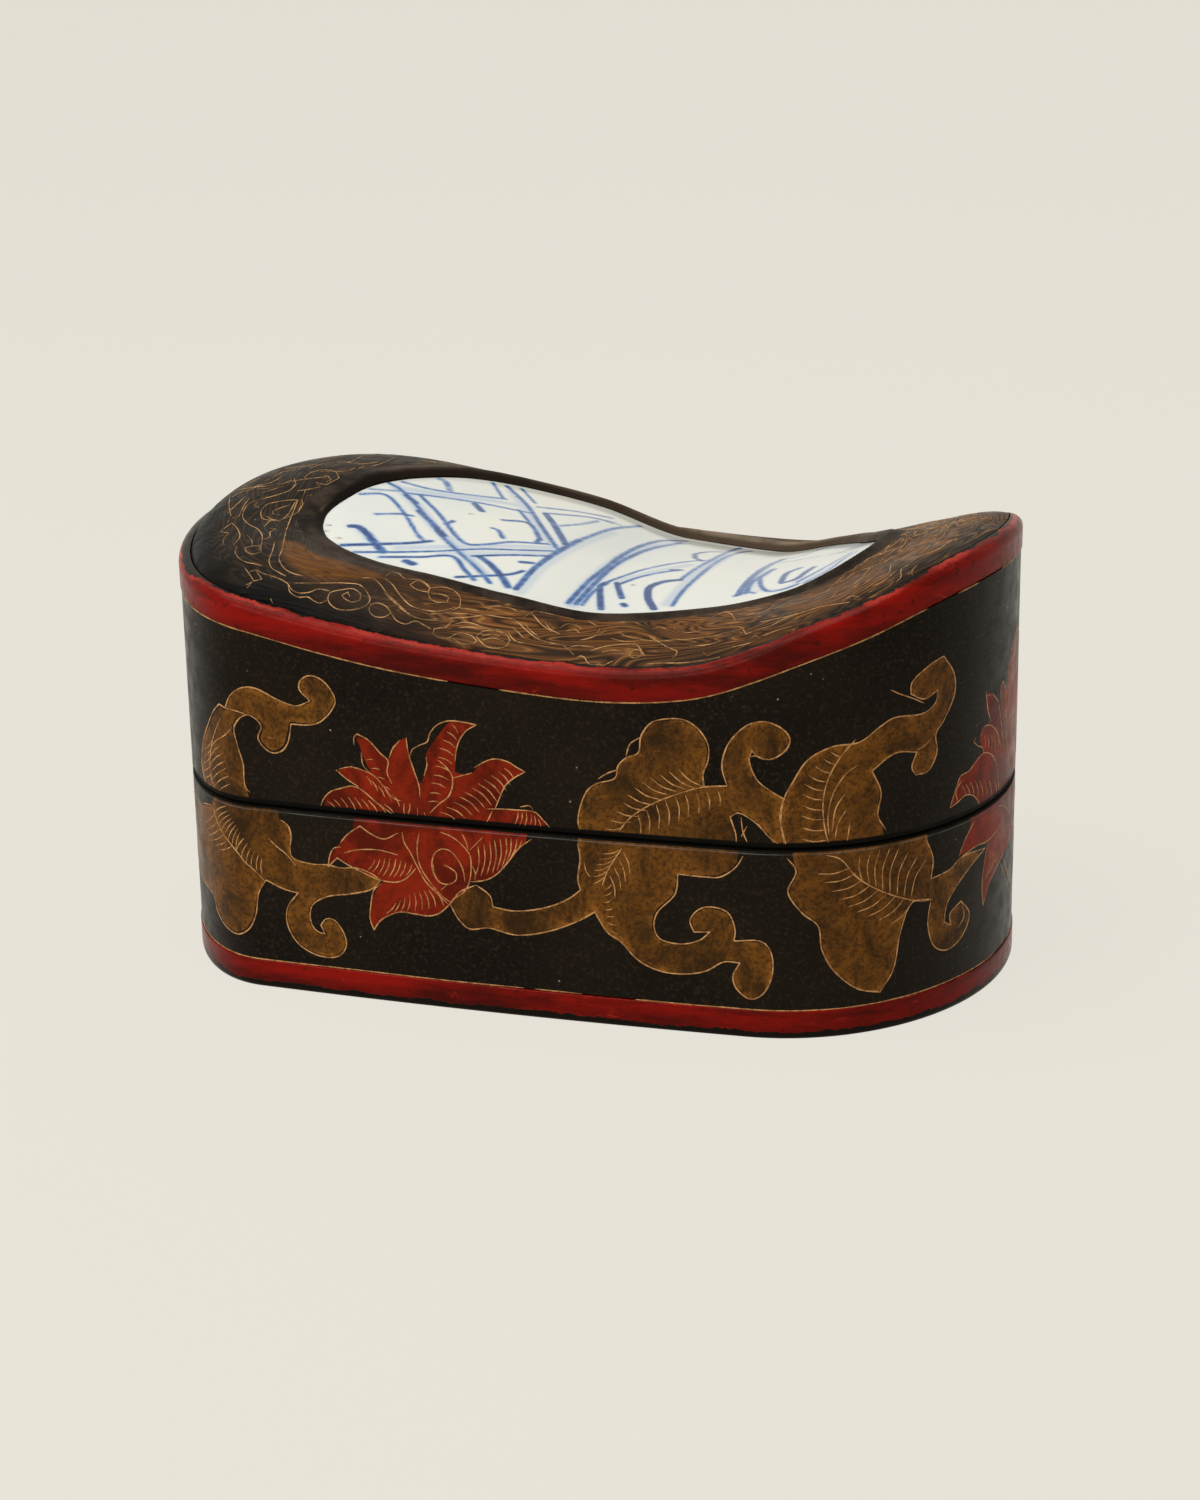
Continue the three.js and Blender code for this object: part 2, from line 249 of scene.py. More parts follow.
# Painted shapes of the wall, as closed outlines in the photograph's pixels. Each is filled and has a gold
# line round it. Those that cross the seam are drawn as an upper and a lower shape.
LEAF_SHAPES = [
    # Left group above the seam
    [(212, 800), (206, 784), (202, 764), (203, 742), (208, 724), (214, 710), (219, 704), (225, 708),
     (229, 697), (236, 690), (246, 687), (257, 689), (278, 700), (296, 706), (310, 701), (299, 689),
     (300, 681), (307, 676), (316, 677), (326, 684), (335, 700), (333, 708), (320, 722), (308, 725),
     (291, 724), (288, 742), (283, 750), (276, 753), (268, 751), (258, 738), (261, 726), (249, 715),
     (241, 717), (234, 727), (237, 744), (243, 764), (246, 788), (260, 798), (277, 808), (280, 814)],
    # Left group below the seam, with its curled stem
    [(203, 803), (280, 820), (288, 826), (291, 836), (290, 850), (293, 858), (312, 864), (328, 865),
     (341, 868), (356, 868), (370, 873), (381, 880), (372, 889), (350, 894), (326, 897), (312, 906),
     (311, 922), (317, 931), (325, 934), (321, 925), (326, 919), (334, 920), (345, 936), (346, 947),
     (339, 956), (320, 956), (298, 943), (287, 922), (288, 907), (298, 893), (284, 889), (266, 880),
     (259, 892), (256, 914), (249, 929), (238, 934), (226, 926), (218, 912), (214, 896), (207, 885),
     (198, 872), (190, 850), (188, 822), (194, 802)],
    # Middle leaf above the seam, with the stem to the right leaf
    [(581, 834), (578, 822), (580, 808), (587, 791), (596, 784), (615, 778), (618, 766), (626, 758),
     (638, 753), (641, 736), (651, 723), (666, 719), (684, 720), (698, 729), (708, 745), (708, 760),
     (703, 774), (704, 787), (727, 786), (722, 768), (724, 754), (731, 740), (748, 725), (766, 722),
     (785, 731), (790, 740), (786, 750), (772, 759), (760, 758), (752, 751), (749, 759), (757, 780),
     (772, 792), (784, 799), (780, 815), (785, 848), (770, 838), (757, 824), (738, 813), (730, 817),
     (736, 836), (736, 846)],
    # Middle leaf below the seam, with its two curls
    [(577, 841), (580, 858), (578, 880), (582, 893), (594, 911), (608, 933), (620, 941), (638, 960),
     (660, 971), (686, 974), (706, 971), (724, 962), (740, 963), (733, 976), (736, 988), (750, 999),
     (762, 995), (772, 976), (771, 953), (762, 942), (734, 941), (735, 930), (728, 913), (711, 907),
     (698, 910), (690, 921), (694, 932), (710, 932), (700, 940), (680, 944), (659, 938), (654, 926),
     (657, 913), (675, 894), (678, 874), (706, 877), (720, 877), (736, 867), (744, 854)],
    # Stem from the lotus to the middle leaf, with its knob
    [(476, 885), (490, 896), (493, 907), (514, 911), (544, 908), (570, 898), (590, 881), (595, 912),
     (576, 922), (546, 932), (516, 935), (488, 928), (470, 929), (460, 921), (450, 904), (460, 892)],
    # Right leaf above the seam, with its tall curl
    [(787, 848), (781, 822), (784, 799), (793, 782), (808, 760), (832, 747), (860, 742), (880, 727),
     (894, 718), (924, 713), (936, 702), (938, 690), (924, 699), (911, 694), (912, 683), (930, 665),
     (944, 656), (954, 673), (955, 692), (944, 720), (936, 734), (937, 752), (928, 771), (916, 775),
     (912, 768), (917, 752), (896, 753), (872, 771), (881, 792), (878, 816), (886, 830), (904, 827),
     (918, 825), (930, 836)],
    # Right leaf below the seam, with its curled stem
    [(784, 855), (796, 871), (788, 892), (802, 913), (818, 926), (822, 950), (834, 971), (858, 989),
     (880, 992), (893, 970), (901, 930), (913, 902), (931, 899), (928, 926), (935, 947), (946, 950),
     (962, 936), (969, 912), (961, 901), (950, 914), (951, 925), (944, 922), (947, 904), (962, 878),
     (985, 848), (962, 857), (949, 870), (931, 879), (933, 858), (926, 839)],
]

# The lotus above and below the seam, in the photograph's pixels
LOTUS_FILLS = [
    [(320, 810), (327, 794), (342, 788), (358, 786), (347, 779), (336, 770), (348, 767), (362, 769),
     (372, 774), (363, 758), (359, 745), (354, 735), (368, 740), (378, 750), (388, 761), (393, 748),
     (400, 740), (406, 737), (408, 752), (413, 768), (420, 786), (426, 768), (425, 755), (436, 738),
     (450, 722), (476, 725), (463, 735), (457, 750), (455, 772), (470, 774), (480, 764), (494, 759),
     (510, 763), (525, 772), (508, 784), (500, 797), (496, 809), (516, 810), (530, 811), (541, 818),
     (552, 829), (545, 836), (440, 832), (392, 826), (360, 822), (336, 813)],
    [(328, 867), (330, 855), (340, 843), (352, 830), (364, 824), (404, 827), (470, 832), (530, 837),
     (533, 838), (522, 847), (511, 860), (500, 872), (486, 880), (471, 882), (468, 890), (458, 898),
     (450, 906), (438, 914), (428, 916), (404, 913), (388, 916), (374, 930), (369, 915), (372, 898),
     (380, 884), (384, 880), (366, 874), (350, 865), (338, 858)],
]

# The left half of the lotus at the right end, which is mirrored to make the whole
END_FILLS = [
    [(950, 808), (953, 797), (960, 778), (970, 770), (980, 755), (984, 752), (980, 742), (981, 732),
     (987, 725), (990, 722), (986, 708), (986, 692), (994, 695), (999, 706), (1001, 700), (1001, 688),
     (1003, 681), (1006, 690), (1008, 680), (1010, 662), (1013, 646), (1018, 632), (1020, 628), (1020, 790),
     (1008, 792), (1000, 799), (978, 813), (979, 804), (974, 797), (966, 795), (958, 802)],
    [(978, 815), (972, 826), (965, 840), (958, 857), (970, 850), (984, 842), (988, 843), (985, 858),
     (982, 885), (983, 905), (988, 886), (995, 870), (1001, 858), (1006, 850), (1009, 843),
     (1020, 840), (1020, 790), (1008, 794), (1000, 801)],
]

# Gold lines inside the shapes
GOLD_LINES = [
    # Left group
    [(268, 737), (273, 739), (275, 735)],
    [(268, 838), (276, 846), (286, 854), (296, 866)],
    [(264, 880), (254, 870), (245, 862), (238, 853), (230, 843), (222, 832), (216, 818), (213, 808)],
    [(216, 794), (211, 776), (210, 758), (213, 738), (220, 718)],
    [(219, 739), (226, 734), (232, 727)],
    [(226, 708), (236, 711), (245, 714)],
    # Lotus, above the seam
    [(344, 817), (334, 812), (328, 809), (320, 810), (323, 800), (330, 792), (342, 788), (352, 786),
     (360, 789), (368, 795), (377, 803), (388, 811), (399, 818)],
    [(359, 787), (348, 780), (336, 770)],
    [(339, 769), (350, 767), (362, 770), (374, 776), (384, 787), (393, 798), (401, 801)],
    [(370, 773), (363, 765), (361, 752)],
    [(354, 745), (354, 737), (357, 734), (368, 740), (380, 753), (388, 761), (387, 772), (392, 784)],
    [(389, 758), (393, 748), (400, 740)],
    [(406, 737), (408, 752), (413, 768), (419, 786), (420, 797)],
    [(410, 756), (412, 750), (420, 745), (427, 742), (430, 733), (437, 725), (448, 721), (462, 722),
     (476, 725), (466, 731), (459, 741), (456, 752), (455, 762)],
    [(438, 760), (446, 767), (452, 776), (452, 788), (448, 797), (439, 804), (430, 813)],
    [(424, 776), (427, 764), (426, 757)],
    [(453, 778), (464, 775), (472, 773)],
    [(474, 768), (484, 762), (494, 759), (508, 762), (516, 767), (525, 772), (514, 778), (505, 786),
     (500, 797), (495, 809)],
    [(487, 809), (500, 809), (516, 810), (530, 811), (536, 813), (543, 820), (551, 829)],
    [(520, 807), (530, 806), (533, 810)],
    [(492, 811), (488, 820), (482, 827)],
    [(404, 803), (404, 812), (406, 822)],
    # Lotus, below the seam
    [(341, 847), (334, 848), (330, 855), (328, 867), (337, 858), (350, 866), (366, 874), (380, 880),
     (398, 882), (408, 877), (416, 868)],
    [(340, 843), (348, 834), (360, 826), (371, 834), (384, 839), (398, 833)],
    [(344, 853), (356, 850), (378, 850), (398, 855)],
    [(402, 832), (404, 842), (410, 852), (418, 868), (426, 882), (438, 894), (448, 904)],
    [(419, 833), (417, 848), (420, 866), (430, 882), (442, 896), (450, 902)],
    [(440, 832), (452, 837), (463, 846), (470, 856), (471, 870), (469, 883), (464, 892), (454, 899),
     (446, 908), (438, 914), (428, 916), (415, 914), (400, 912), (390, 915), (380, 921), (374, 930),
     (370, 918), (371, 904), (374, 890), (382, 883)],
    [(433, 874), (432, 862), (435, 853), (442, 849), (450, 851), (458, 860), (463, 870), (465, 882)],
    [(433, 864), (435, 876), (441, 883), (450, 884), (456, 880), (456, 873), (450, 868), (444, 865)],
    [(441, 890), (448, 884)],
    [(462, 834), (466, 842), (468, 850)],
    [(483, 837), (476, 844), (470, 850)],
    [(470, 882), (486, 880), (497, 874), (508, 862), (518, 849), (533, 838)],
    [(472, 866), (475, 872), (475, 880)],
    # Middle leaf
    [(626, 756), (630, 744), (641, 737)],
    [(598, 779), (608, 773), (617, 770), (617, 776)],
    [(727, 786), (704, 787), (684, 792), (652, 804), (630, 818), (619, 831)],
    [(749, 757), (756, 756), (762, 758)],
    [(741, 817), (743, 832), (749, 846)],
    [(741, 837), (747, 826)],
    [(622, 848), (614, 860), (607, 872), (602, 886)],
    [(584, 862), (586, 871), (590, 877)],
    # Right leaf
    [(856, 739), (840, 758), (828, 780), (823, 804), (826, 834), (831, 848)],
    [(858, 765), (846, 774), (834, 792), (828, 816), (829, 834)],
    [(845, 794), (836, 808), (832, 832)],
    [(846, 810), (838, 824), (835, 840)],
    [(850, 823), (847, 843)],
    [(891, 690), (900, 694), (912, 698), (924, 703)],
    [(824, 855), (840, 859), (858, 878), (886, 893), (920, 901), (933, 899)],
    [(917, 750), (924, 746), (932, 738)],
    [(962, 905), (964, 916), (958, 928)],
    # End lotus
    [(950, 808), (958, 802), (966, 795), (974, 796), (979, 804), (978, 812)],
    [(950, 808), (953, 798), (957, 786), (961, 776), (969, 771), (977, 760), (984, 753), (991, 754),
     (996, 763), (998, 778), (999, 792)],
    [(958, 802), (956, 792), (962, 780)],
    [(976, 737), (974, 742), (978, 746), (982, 747), (984, 753)],
    [(981, 736), (984, 727), (990, 725), (996, 730), (999, 738), (1001, 750)],
    [(986, 691), (987, 700), (988, 710), (991, 722)],
    [(987, 696), (993, 694), (998, 701), (1000, 714), (1002, 730), (1004, 750)],
    [(1001, 700), (1001, 688), (1003, 681), (1006, 690), (1006, 704), (1006, 724)],
    [(1016, 636), (1011, 652), (1008, 672), (1008, 690)],
    [(1012, 655), (1010, 676), (1009, 696), (1009, 716), (1010, 740)],
    [(1006, 730), (1007, 750), (1009, 768)],
    [(978, 815), (972, 826), (965, 840), (959, 856)],
    [(960, 858), (968, 852), (978, 845), (986, 842), (994, 834), (1000, 824)],
    [(988, 843), (985, 858), (982, 885), (983, 905), (988, 886), (995, 870), (1001, 858), (1006, 848)],
    [(998, 806), (1004, 806), (1009, 813)],
    [(1000, 862), (1003, 872), (1007, 884), (1010, 896)],
    [(1003, 858), (1006, 868), (1009, 880)],
]

# Rows of short gold strokes, spread evenly between two guide lines: how many, and the two lines
HATCHES = [
    (8, [(236, 850), (222, 832), (214, 812)], [(240, 832), (232, 818), (226, 806)]),
    (6, [(232, 846), (222, 832), (214, 814)], [(220, 850), (210, 838), (206, 822)]),
    (6, [(262, 874), (248, 864), (236, 852)], [(262, 858), (252, 848), (244, 838)]),
    (7, [(210, 750), (211, 772), (216, 794)], [(219, 738), (225, 760), (230, 784)]),
    (6, [(212, 740), (211, 760), (214, 782)], [(204, 750), (203, 768), (207, 786)]),
    (10, [(451, 724), (442, 742), (434, 772), (428, 802)], [(458, 733), (454, 756), (448, 782), (438, 802)]),
    (4, [(366, 760), (374, 772), (382, 786)], [(374, 760), (382, 774), (390, 790)]),
    (9, [(327, 801), (348, 797), (384, 804)], [(336, 809), (360, 817), (396, 817)]),
    (5, [(366, 776), (378, 786), (392, 794)], [(372, 786), (384, 797), (400, 807)]),
    (11, [(504, 768), (480, 782), (440, 812)], [(514, 779), (496, 802), (458, 822)]),
    (6, [(518, 812), (530, 813), (538, 819)], [(515, 824), (526, 826), (541, 829)]),
    (9, [(396, 903), (416, 892), (434, 890)], [(386, 914), (416, 911), (444, 906)]),
    (9, [(522, 840), (502, 838), (478, 846)], [(514, 854), (498, 870), (475, 878)]),
    (8, [(375, 860), (392, 858), (412, 864)], [(368, 870), (386, 877), (406, 876)]),
    (3, [(410, 803), (418, 808), (424, 812)], [(407, 816), (416, 820), (426, 824)]),
    (11, [(704, 787), (674, 793), (622, 828)], [(678, 769), (640, 783), (605, 829)]),
    (9, [(638, 815), (671, 798), (718, 791)], [(640, 838), (671, 824), (720, 806)]),
    (7, [(612, 884), (612, 904), (618, 934)], [(605, 890), (605, 908), (610, 930)]),
    (6, [(620, 850), (613, 861), (605, 876)], [(602, 854), (596, 866), (593, 884)]),
    (4, [(623, 852), (616, 864), (610, 876)], [(630, 874), (622, 888), (615, 898)]),
    (10, [(842, 757), (825, 790), (828, 840)], [(831, 752), (806, 780), (801, 839)]),
    (9, [(850, 868), (880, 891), (913, 901)], [(818, 874), (846, 906), (890, 925)]),
    (8, [(911, 897), (890, 893), (862, 880)], [(926, 860), (892, 848), (860, 856)]),
    (8, [(962, 786), (976, 780), (994, 780)], [(966, 794), (980, 797), (996, 797)]),
    (5, [(984, 735), (990, 733), (997, 738)], [(985, 748), (991, 750), (998, 752)]),
    (4, [(990, 850), (994, 850), (999, 850)], [(985, 880), (989, 874), (994, 864)]),
]

# Gold lines of the lid's rim, in the photograph's pixels
RIM_LINES = [
    # Left end
    [(294, 478), (296, 484), (290, 490), (280, 494), (262, 499), (250, 503), (244, 510), (243, 518),
     (250, 525), (258, 529), (262, 535), (262, 542), (259, 550)],
    [(302, 500), (303, 506), (298, 512), (290, 516), (280, 520)],
    [(302, 500), (290, 500), (276, 502), (266, 505), (261, 512), (262, 518), (268, 520), (278, 519)],
    [(290, 505), (280, 508), (273, 511), (273, 514), (280, 515)],
    [(292, 506), (287, 509)],
    [(245, 497), (236, 505), (228, 513)],
    [(230, 496), (229, 505), (231, 516)],
    [(250, 497), (243, 507), (238, 517), (232, 518)],
    [(258, 502), (254, 505), (259, 508)],
    [(258, 489), (270, 488), (280, 485), (292, 480)],
    [(262, 493), (274, 489), (284, 486)],
    [(246, 492), (256, 487), (272, 482), (286, 474)],
    [(232, 497), (246, 490), (262, 484)],
    [(221, 532), (226, 527), (232, 523), (237, 528), (240, 536), (237, 541), (233, 545)],
    [(221, 532), (229, 533), (224, 538), (223, 546)],
    [(237, 546), (235, 552), (239, 558), (246, 562), (256, 564), (262, 566)],
    [(245, 548), (252, 546), (261, 546), (261, 552), (252, 554), (246, 551), (245, 548)],
    [(247, 535), (252, 541), (252, 546)],
    [(249, 572), (256, 570), (262, 573), (272, 576), (282, 580), (288, 584), (292, 590), (300, 593),
     (310, 592), (318, 589), (330, 591)],
    [(245, 568), (250, 575), (254, 581), (262, 579), (256, 571)],
    [(264, 527), (270, 521), (278, 521)],
    [(270, 528), (276, 529), (270, 532), (270, 537), (262, 540)],
    [(275, 541), (272, 552), (269, 560), (271, 567), (278, 572), (286, 576)],
    [(286, 531), (284, 540), (282, 550), (279, 558), (283, 567), (292, 573), (304, 576)],
    [(246, 585), (252, 582), (247, 588)],
    [(294, 583), (320, 583), (345, 583), (360, 585), (367, 592), (370, 600), (365, 606), (350, 610),
     (335, 608), (328, 600), (330, 593), (340, 590), (354, 589), (361, 594), (360, 600), (352, 602),
     (344, 598), (342, 595), (348, 592), (350, 597)],
    [(288, 584), (290, 592), (298, 597), (308, 597), (314, 601), (320, 603), (327, 600)],
    [(371, 604), (369, 610), (374, 616), (384, 617), (391, 613), (387, 607), (378, 603), (371, 604)],
    [(362, 578), (372, 578), (380, 584), (386, 592), (396, 602), (408, 613), (418, 618), (430, 620),
     (445, 620), (452, 619)],
    [(384, 592), (394, 602), (404, 611), (416, 618)],
    [(386, 576), (390, 573), (398, 573), (404, 578), (420, 580), (430, 586)],
    [(384, 578), (392, 584), (400, 595), (410, 605), (424, 610), (440, 611), (456, 607)],
    [(410, 585), (418, 590), (428, 592), (430, 588), (424, 583), (416, 581), (410, 585)],
    [(428, 592), (430, 598), (436, 602), (447, 602), (449, 597), (440, 594), (431, 594)],
    [(430, 588), (442, 587), (453, 590), (460, 597), (460, 607), (452, 610)],
    [(391, 613), (396, 620), (405, 624), (416, 621), (424, 625), (431, 629)],
    [(304, 478), (310, 473), (322, 470), (336, 472), (339, 478), (333, 484), (322, 484), (316, 482)],
    [(303, 490), (310, 489), (320, 487), (316, 482)],
    [(324, 479), (328, 476), (331, 480), (326, 482)],
    [(340, 490), (352, 484), (366, 477), (380, 473), (396, 470)],
    [(310, 468), (326, 463), (344, 462), (360, 464), (378, 462)],
    [(250, 471), (276, 463), (304, 459), (330, 458)],
    [(306, 496), (320, 493), (336, 487)],
    # Near side
    [(466, 601), (475, 601), (482, 604), (487, 608)],
    [(460, 608), (470, 609), (480, 611)],
    [(430, 614), (450, 613), (468, 614)],
    [(487, 610), (493, 606), (500, 606), (510, 608), (520, 612)],
    [(430, 619), (450, 618), (470, 617), (484, 615), (500, 617), (515, 620), (524, 628), (535, 637),
     (546, 642), (562, 645), (568, 649), (574, 655)],
    [(433, 633), (434, 629), (440, 628), (446, 627), (450, 623), (453, 620)],
    [(433, 633), (437, 637), (448, 638), (452, 636), (458, 633), (466, 634), (472, 636), (477, 641),
     (470, 644), (460, 643), (452, 638)],
    [(476, 636), (484, 631), (496, 631), (506, 634), (510, 640), (506, 646), (498, 648), (488, 647),
     (481, 642), (476, 636)],
    [(482, 636), (490, 634), (500, 636)],
    [(482, 640), (492, 638), (504, 641)],
    [(508, 632), (512, 638), (518, 642), (526, 643)],
    [(512, 627), (520, 634), (524, 638)],
    [(455, 624), (466, 622), (478, 625), (490, 629), (502, 630)],
    [(458, 628), (470, 627), (482, 629)],
    [(522, 619), (530, 613), (540, 610), (556, 612), (568, 616), (574, 620)],
    [(530, 612), (536, 618), (541, 624), (548, 629), (552, 632)],
    [(545, 622), (550, 629), (560, 634)],
    [(524, 622), (530, 630), (538, 636)],
    [(560, 628), (567, 624), (576, 625), (582, 629)],
    [(566, 631), (574, 629), (580, 633)],
    [(580, 640), (590, 638), (600, 634), (606, 630)],
    [(582, 616), (590, 622), (598, 626)],
    [(600, 628), (596, 635), (588, 638)],
    [(568, 661), (575, 659), (580, 656), (584, 657), (588, 663), (594, 666), (602, 666), (610, 662),
     (613, 661)],
    [(566, 649), (574, 646), (584, 646), (594, 647)],
    [(590, 651), (602, 647), (614, 645), (628, 644), (637, 645), (641, 650), (645, 656)],
    [(629, 656), (633, 650), (640, 650), (642, 655), (636, 658), (630, 657)],
    [(602, 652), (612, 650), (622, 651)],
    [(648, 635), (654, 639), (662, 644), (670, 648), (677, 651), (676, 655), (672, 658)],
    [(671, 625), (676, 623), (674, 629), (682, 632), (694, 632), (704, 629)],
    [(618, 632), (626, 636), (640, 639), (656, 641), (672, 640), (690, 639), (706, 637), (722, 635)],
    [(610, 638), (622, 641), (636, 642)],
    [(690, 646), (704, 645), (716, 643)],
    [(646, 664), (660, 663), (676, 663), (690, 662), (706, 660), (720, 657)],
    [(652, 629), (660, 627), (668, 630)],
    # Right end
    [(703, 652), (707, 656), (716, 652), (728, 648), (742, 645), (756, 641)],
    [(742, 628), (746, 634), (756, 630), (770, 626), (782, 620), (795, 614), (806, 611)],
    [(744, 616), (756, 613), (770, 610), (784, 605), (796, 602)],
    [(700, 620), (712, 617), (722, 613), (730, 613), (735, 619), (731, 625)],
    [(706, 626), (716, 622), (724, 620)],
    [(750, 639), (756, 635), (760, 639)],
    [(762, 636), (778, 630), (792, 626)],
    [(760, 622), (780, 618), (800, 613), (820, 607), (836, 604), (850, 602)],
    [(826, 592), (834, 584), (842, 577), (846, 573)],
    [(847, 590), (855, 583), (862, 577), (868, 570), (871, 567)],
    [(808, 590), (812, 586)],
    [(826, 600), (833, 596), (838, 590)],
    [(780, 606), (792, 600), (804, 595)],
    [(842, 601), (852, 596), (860, 597)],
    [(860, 566), (866, 560), (880, 554), (896, 548)],
    [(884, 552), (889, 546), (890, 544)],
    [(852, 572), (860, 562), (872, 553)],
    [(896, 582), (901, 577), (901, 570), (906, 566), (914, 560), (924, 555), (936, 550), (946, 544),
     (954, 539)],
    [(904, 585), (912, 578), (912, 571), (918, 564)],
    [(880, 577), (889, 573), (891, 565), (898, 560)],
    [(872, 586), (884, 581), (892, 574)],
    [(900, 532), (914, 528), (930, 524)],
    [(922, 541), (936, 535), (944, 529), (952, 525)],
    [(930, 530), (944, 525), (960, 521), (976, 518)],
    [(870, 545), (890, 538), (910, 532)],
    [(880, 550), (900, 542), (920, 534)],
    [(902, 552), (920, 544), (936, 538)],
    [(958, 527), (972, 521), (990, 517)],
]

# Orange-gold clouds on the rim, in the photograph's pixels
RIM_CLOUDS = [
    [(282, 541), (290, 541), (302, 545), (312, 553), (340, 561), (360, 568), (378, 574), (384, 578),
     (350, 579), (325, 580), (310, 577), (298, 570), (288, 562), (283, 552)],
    [(440, 612), (470, 606), (510, 610), (548, 624), (560, 640), (520, 634), (470, 626), (446, 622)],
    [(560, 616), (620, 620), (660, 640), (650, 656), (600, 652), (570, 640)],
    [(650, 620), (700, 612), (760, 606), (740, 626), (700, 640), (664, 636)],
    [(780, 606), (830, 584), (880, 566), (890, 580), (840, 604), (800, 620)],
    [(880, 556), (930, 538), (960, 530), (950, 544), (910, 560)],
]

# Brush strokes of the porcelain: width in millimetres, strength of the blue, and places in the photograph
BLUE_STROKES = [
    # Lattice at the left
    (0.9, 0.75, [(389, 483), (400, 489), (419, 508), (440, 534), (460, 553), (480, 571), (490, 583)]),
    (1.3, 0.9, [(406, 495), (416, 503)]),
    (1.3, 0.95, [(419, 511), (432, 523), (444, 536)]),
    (0.9, 0.75, [(420, 495), (440, 515), (457, 537), (467, 544), (490, 544), (510, 542), (548, 544)]),
    (0.8, 0.7, [(360, 494), (386, 495), (404, 513), (418, 535), (425, 542)]),
    (1.1, 0.95, [(431, 541), (410, 543), (380, 544), (342, 545)]),
    (0.8, 0.75, [(354, 552), (400, 552), (440, 551), (480, 549), (520, 550), (554, 551)]),
    (0.9, 0.85, [(380, 557), (420, 557), (454, 557), (464, 569), (474, 580)]),
    (0.9, 0.8, [(473, 556), (510, 555), (549, 556)]),
    (1.4, 0.85, [(480, 557), (490, 564), (502, 577), (508, 587)]),
    (0.8, 0.8, [(376, 514), (402, 514), (413, 516)]),
    (1.6, 0.95, [(351, 526), (359, 527), (383, 552)]),
    (1.6, 0.9, [(406, 561), (413, 564)]),
    (1.0, 0.9, [(446, 524), (453, 521)]),
    (1.5, 0.8, [(475, 504), (482, 511)]),
    (0.9, 0.75, [(492, 528), (498, 530), (503, 538)]),
    (1.0, 0.85, [(503, 520), (530, 524), (540, 539), (537, 542)]),
    (0.9, 0.95, [(457, 577), (480, 576), (512, 574), (523, 571)]),
    (1.2, 0.8, [(521, 562), (533, 563)]),
    (1.0, 0.55, [(403, 482), (430, 489), (470, 495), (506, 499)]),
    (1.0, 0.6, [(406, 493), (440, 497), (480, 503), (530, 513)]),
    (0.8, 0.5, [(370, 489), (400, 491)]),
    (1.6, 0.45, [(440, 479), (446, 482), (450, 490)]),
    (0.9, 0.55, [(493, 483), (503, 498)]),
    (1.1, 0.75, [(507, 486), (527, 505), (542, 527), (559, 551)]),
    (0.9, 0.6, [(522, 489), (535, 503)]),
    (0.9, 0.6, [(519, 510), (530, 523)]),
    (1.5, 0.9, [(546, 514), (553, 523), (566, 545)]),
    (0.9, 0.6, [(538, 507), (580, 512), (612, 518)]),
    (0.9, 0.6, [(545, 513), (594, 518), (612, 523)]),
    (0.9, 0.5, [(558, 526), (582, 524), (598, 521)]),
    # Rings
    (1.3, 0.8, [(516, 589), (536, 567), (566, 547), (580, 540)]),
    (1.0, 0.55, [(580, 540), (596, 534), (612, 529), (641, 526)]),
    (1.1, 0.75, [(568, 603), (590, 580), (603, 570), (620, 557), (636, 548), (660, 541), (686, 541)]),
    (1.1, 0.75, [(576, 604), (596, 582), (614, 566), (630, 557), (650, 549), (680, 543)]),
    (0.9, 0.6, [(582, 605), (592, 593), (603, 585), (610, 581)]),
    (0.8, 0.5, [(600, 519), (612, 522), (622, 526)]),
    # Scroll at the right
    (1.3, 0.95, [(601, 609), (600, 594), (600, 586), (606, 583)]),
    (0.6, 0.8, [(604, 583), (624, 576), (642, 570), (670, 564), (694, 561), (712, 560)]),
    (1.0, 0.85, [(724, 552), (706, 552), (695, 554), (695, 558), (702, 561)]),
    (0.8, 0.8, [(617, 585), (640, 577), (664, 572), (682, 570)]),
    (1.3, 0.95, [(672, 570), (679, 570)]),
    (1.2, 0.95, [(617, 583), (619, 590), (622, 598)]),
    (1.3, 0.95, [(623, 604), (625, 606)]),
    (1.5, 0.95, [(654, 609), (648, 598), (649, 588), (656, 584), (668, 581), (680, 580)]),
    (1.0, 0.65, [(680, 580), (694, 570), (710, 561), (728, 552), (740, 548)]),
    (1.0, 0.65, [(672, 606), (682, 592), (700, 575), (720, 560), (738, 553), (752, 551)]),
    (1.4, 0.75, [(738, 595), (744, 586), (756, 574), (770, 565), (784, 559)]),
    (1.0, 0.5, [(784, 559), (800, 556), (822, 549), (845, 543)]),
    (0.9, 0.45, [(780, 563), (798, 560), (820, 556)]),
    (1.2, 0.6, [(735, 596), (748, 592), (754, 593)]),
    (1.3, 0.7, [(746, 593), (750, 584), (762, 576), (774, 569)]),
    (1.0, 0.7, [(760, 577), (761, 586), (767, 591), (784, 589), (798, 584)]),
    (1.2, 0.95, [(781, 582), (786, 574), (800, 568)]),
    (1.2, 0.95, [(782, 583), (796, 579), (806, 572), (814, 567)]),
    (0.9, 0.65, [(797, 582), (820, 570), (836, 561), (852, 552)]),
    (0.9, 0.65, [(804, 583), (830, 569), (845, 558), (858, 551)]),
    (0.9, 0.5, [(832, 554), (843, 552)]),
]

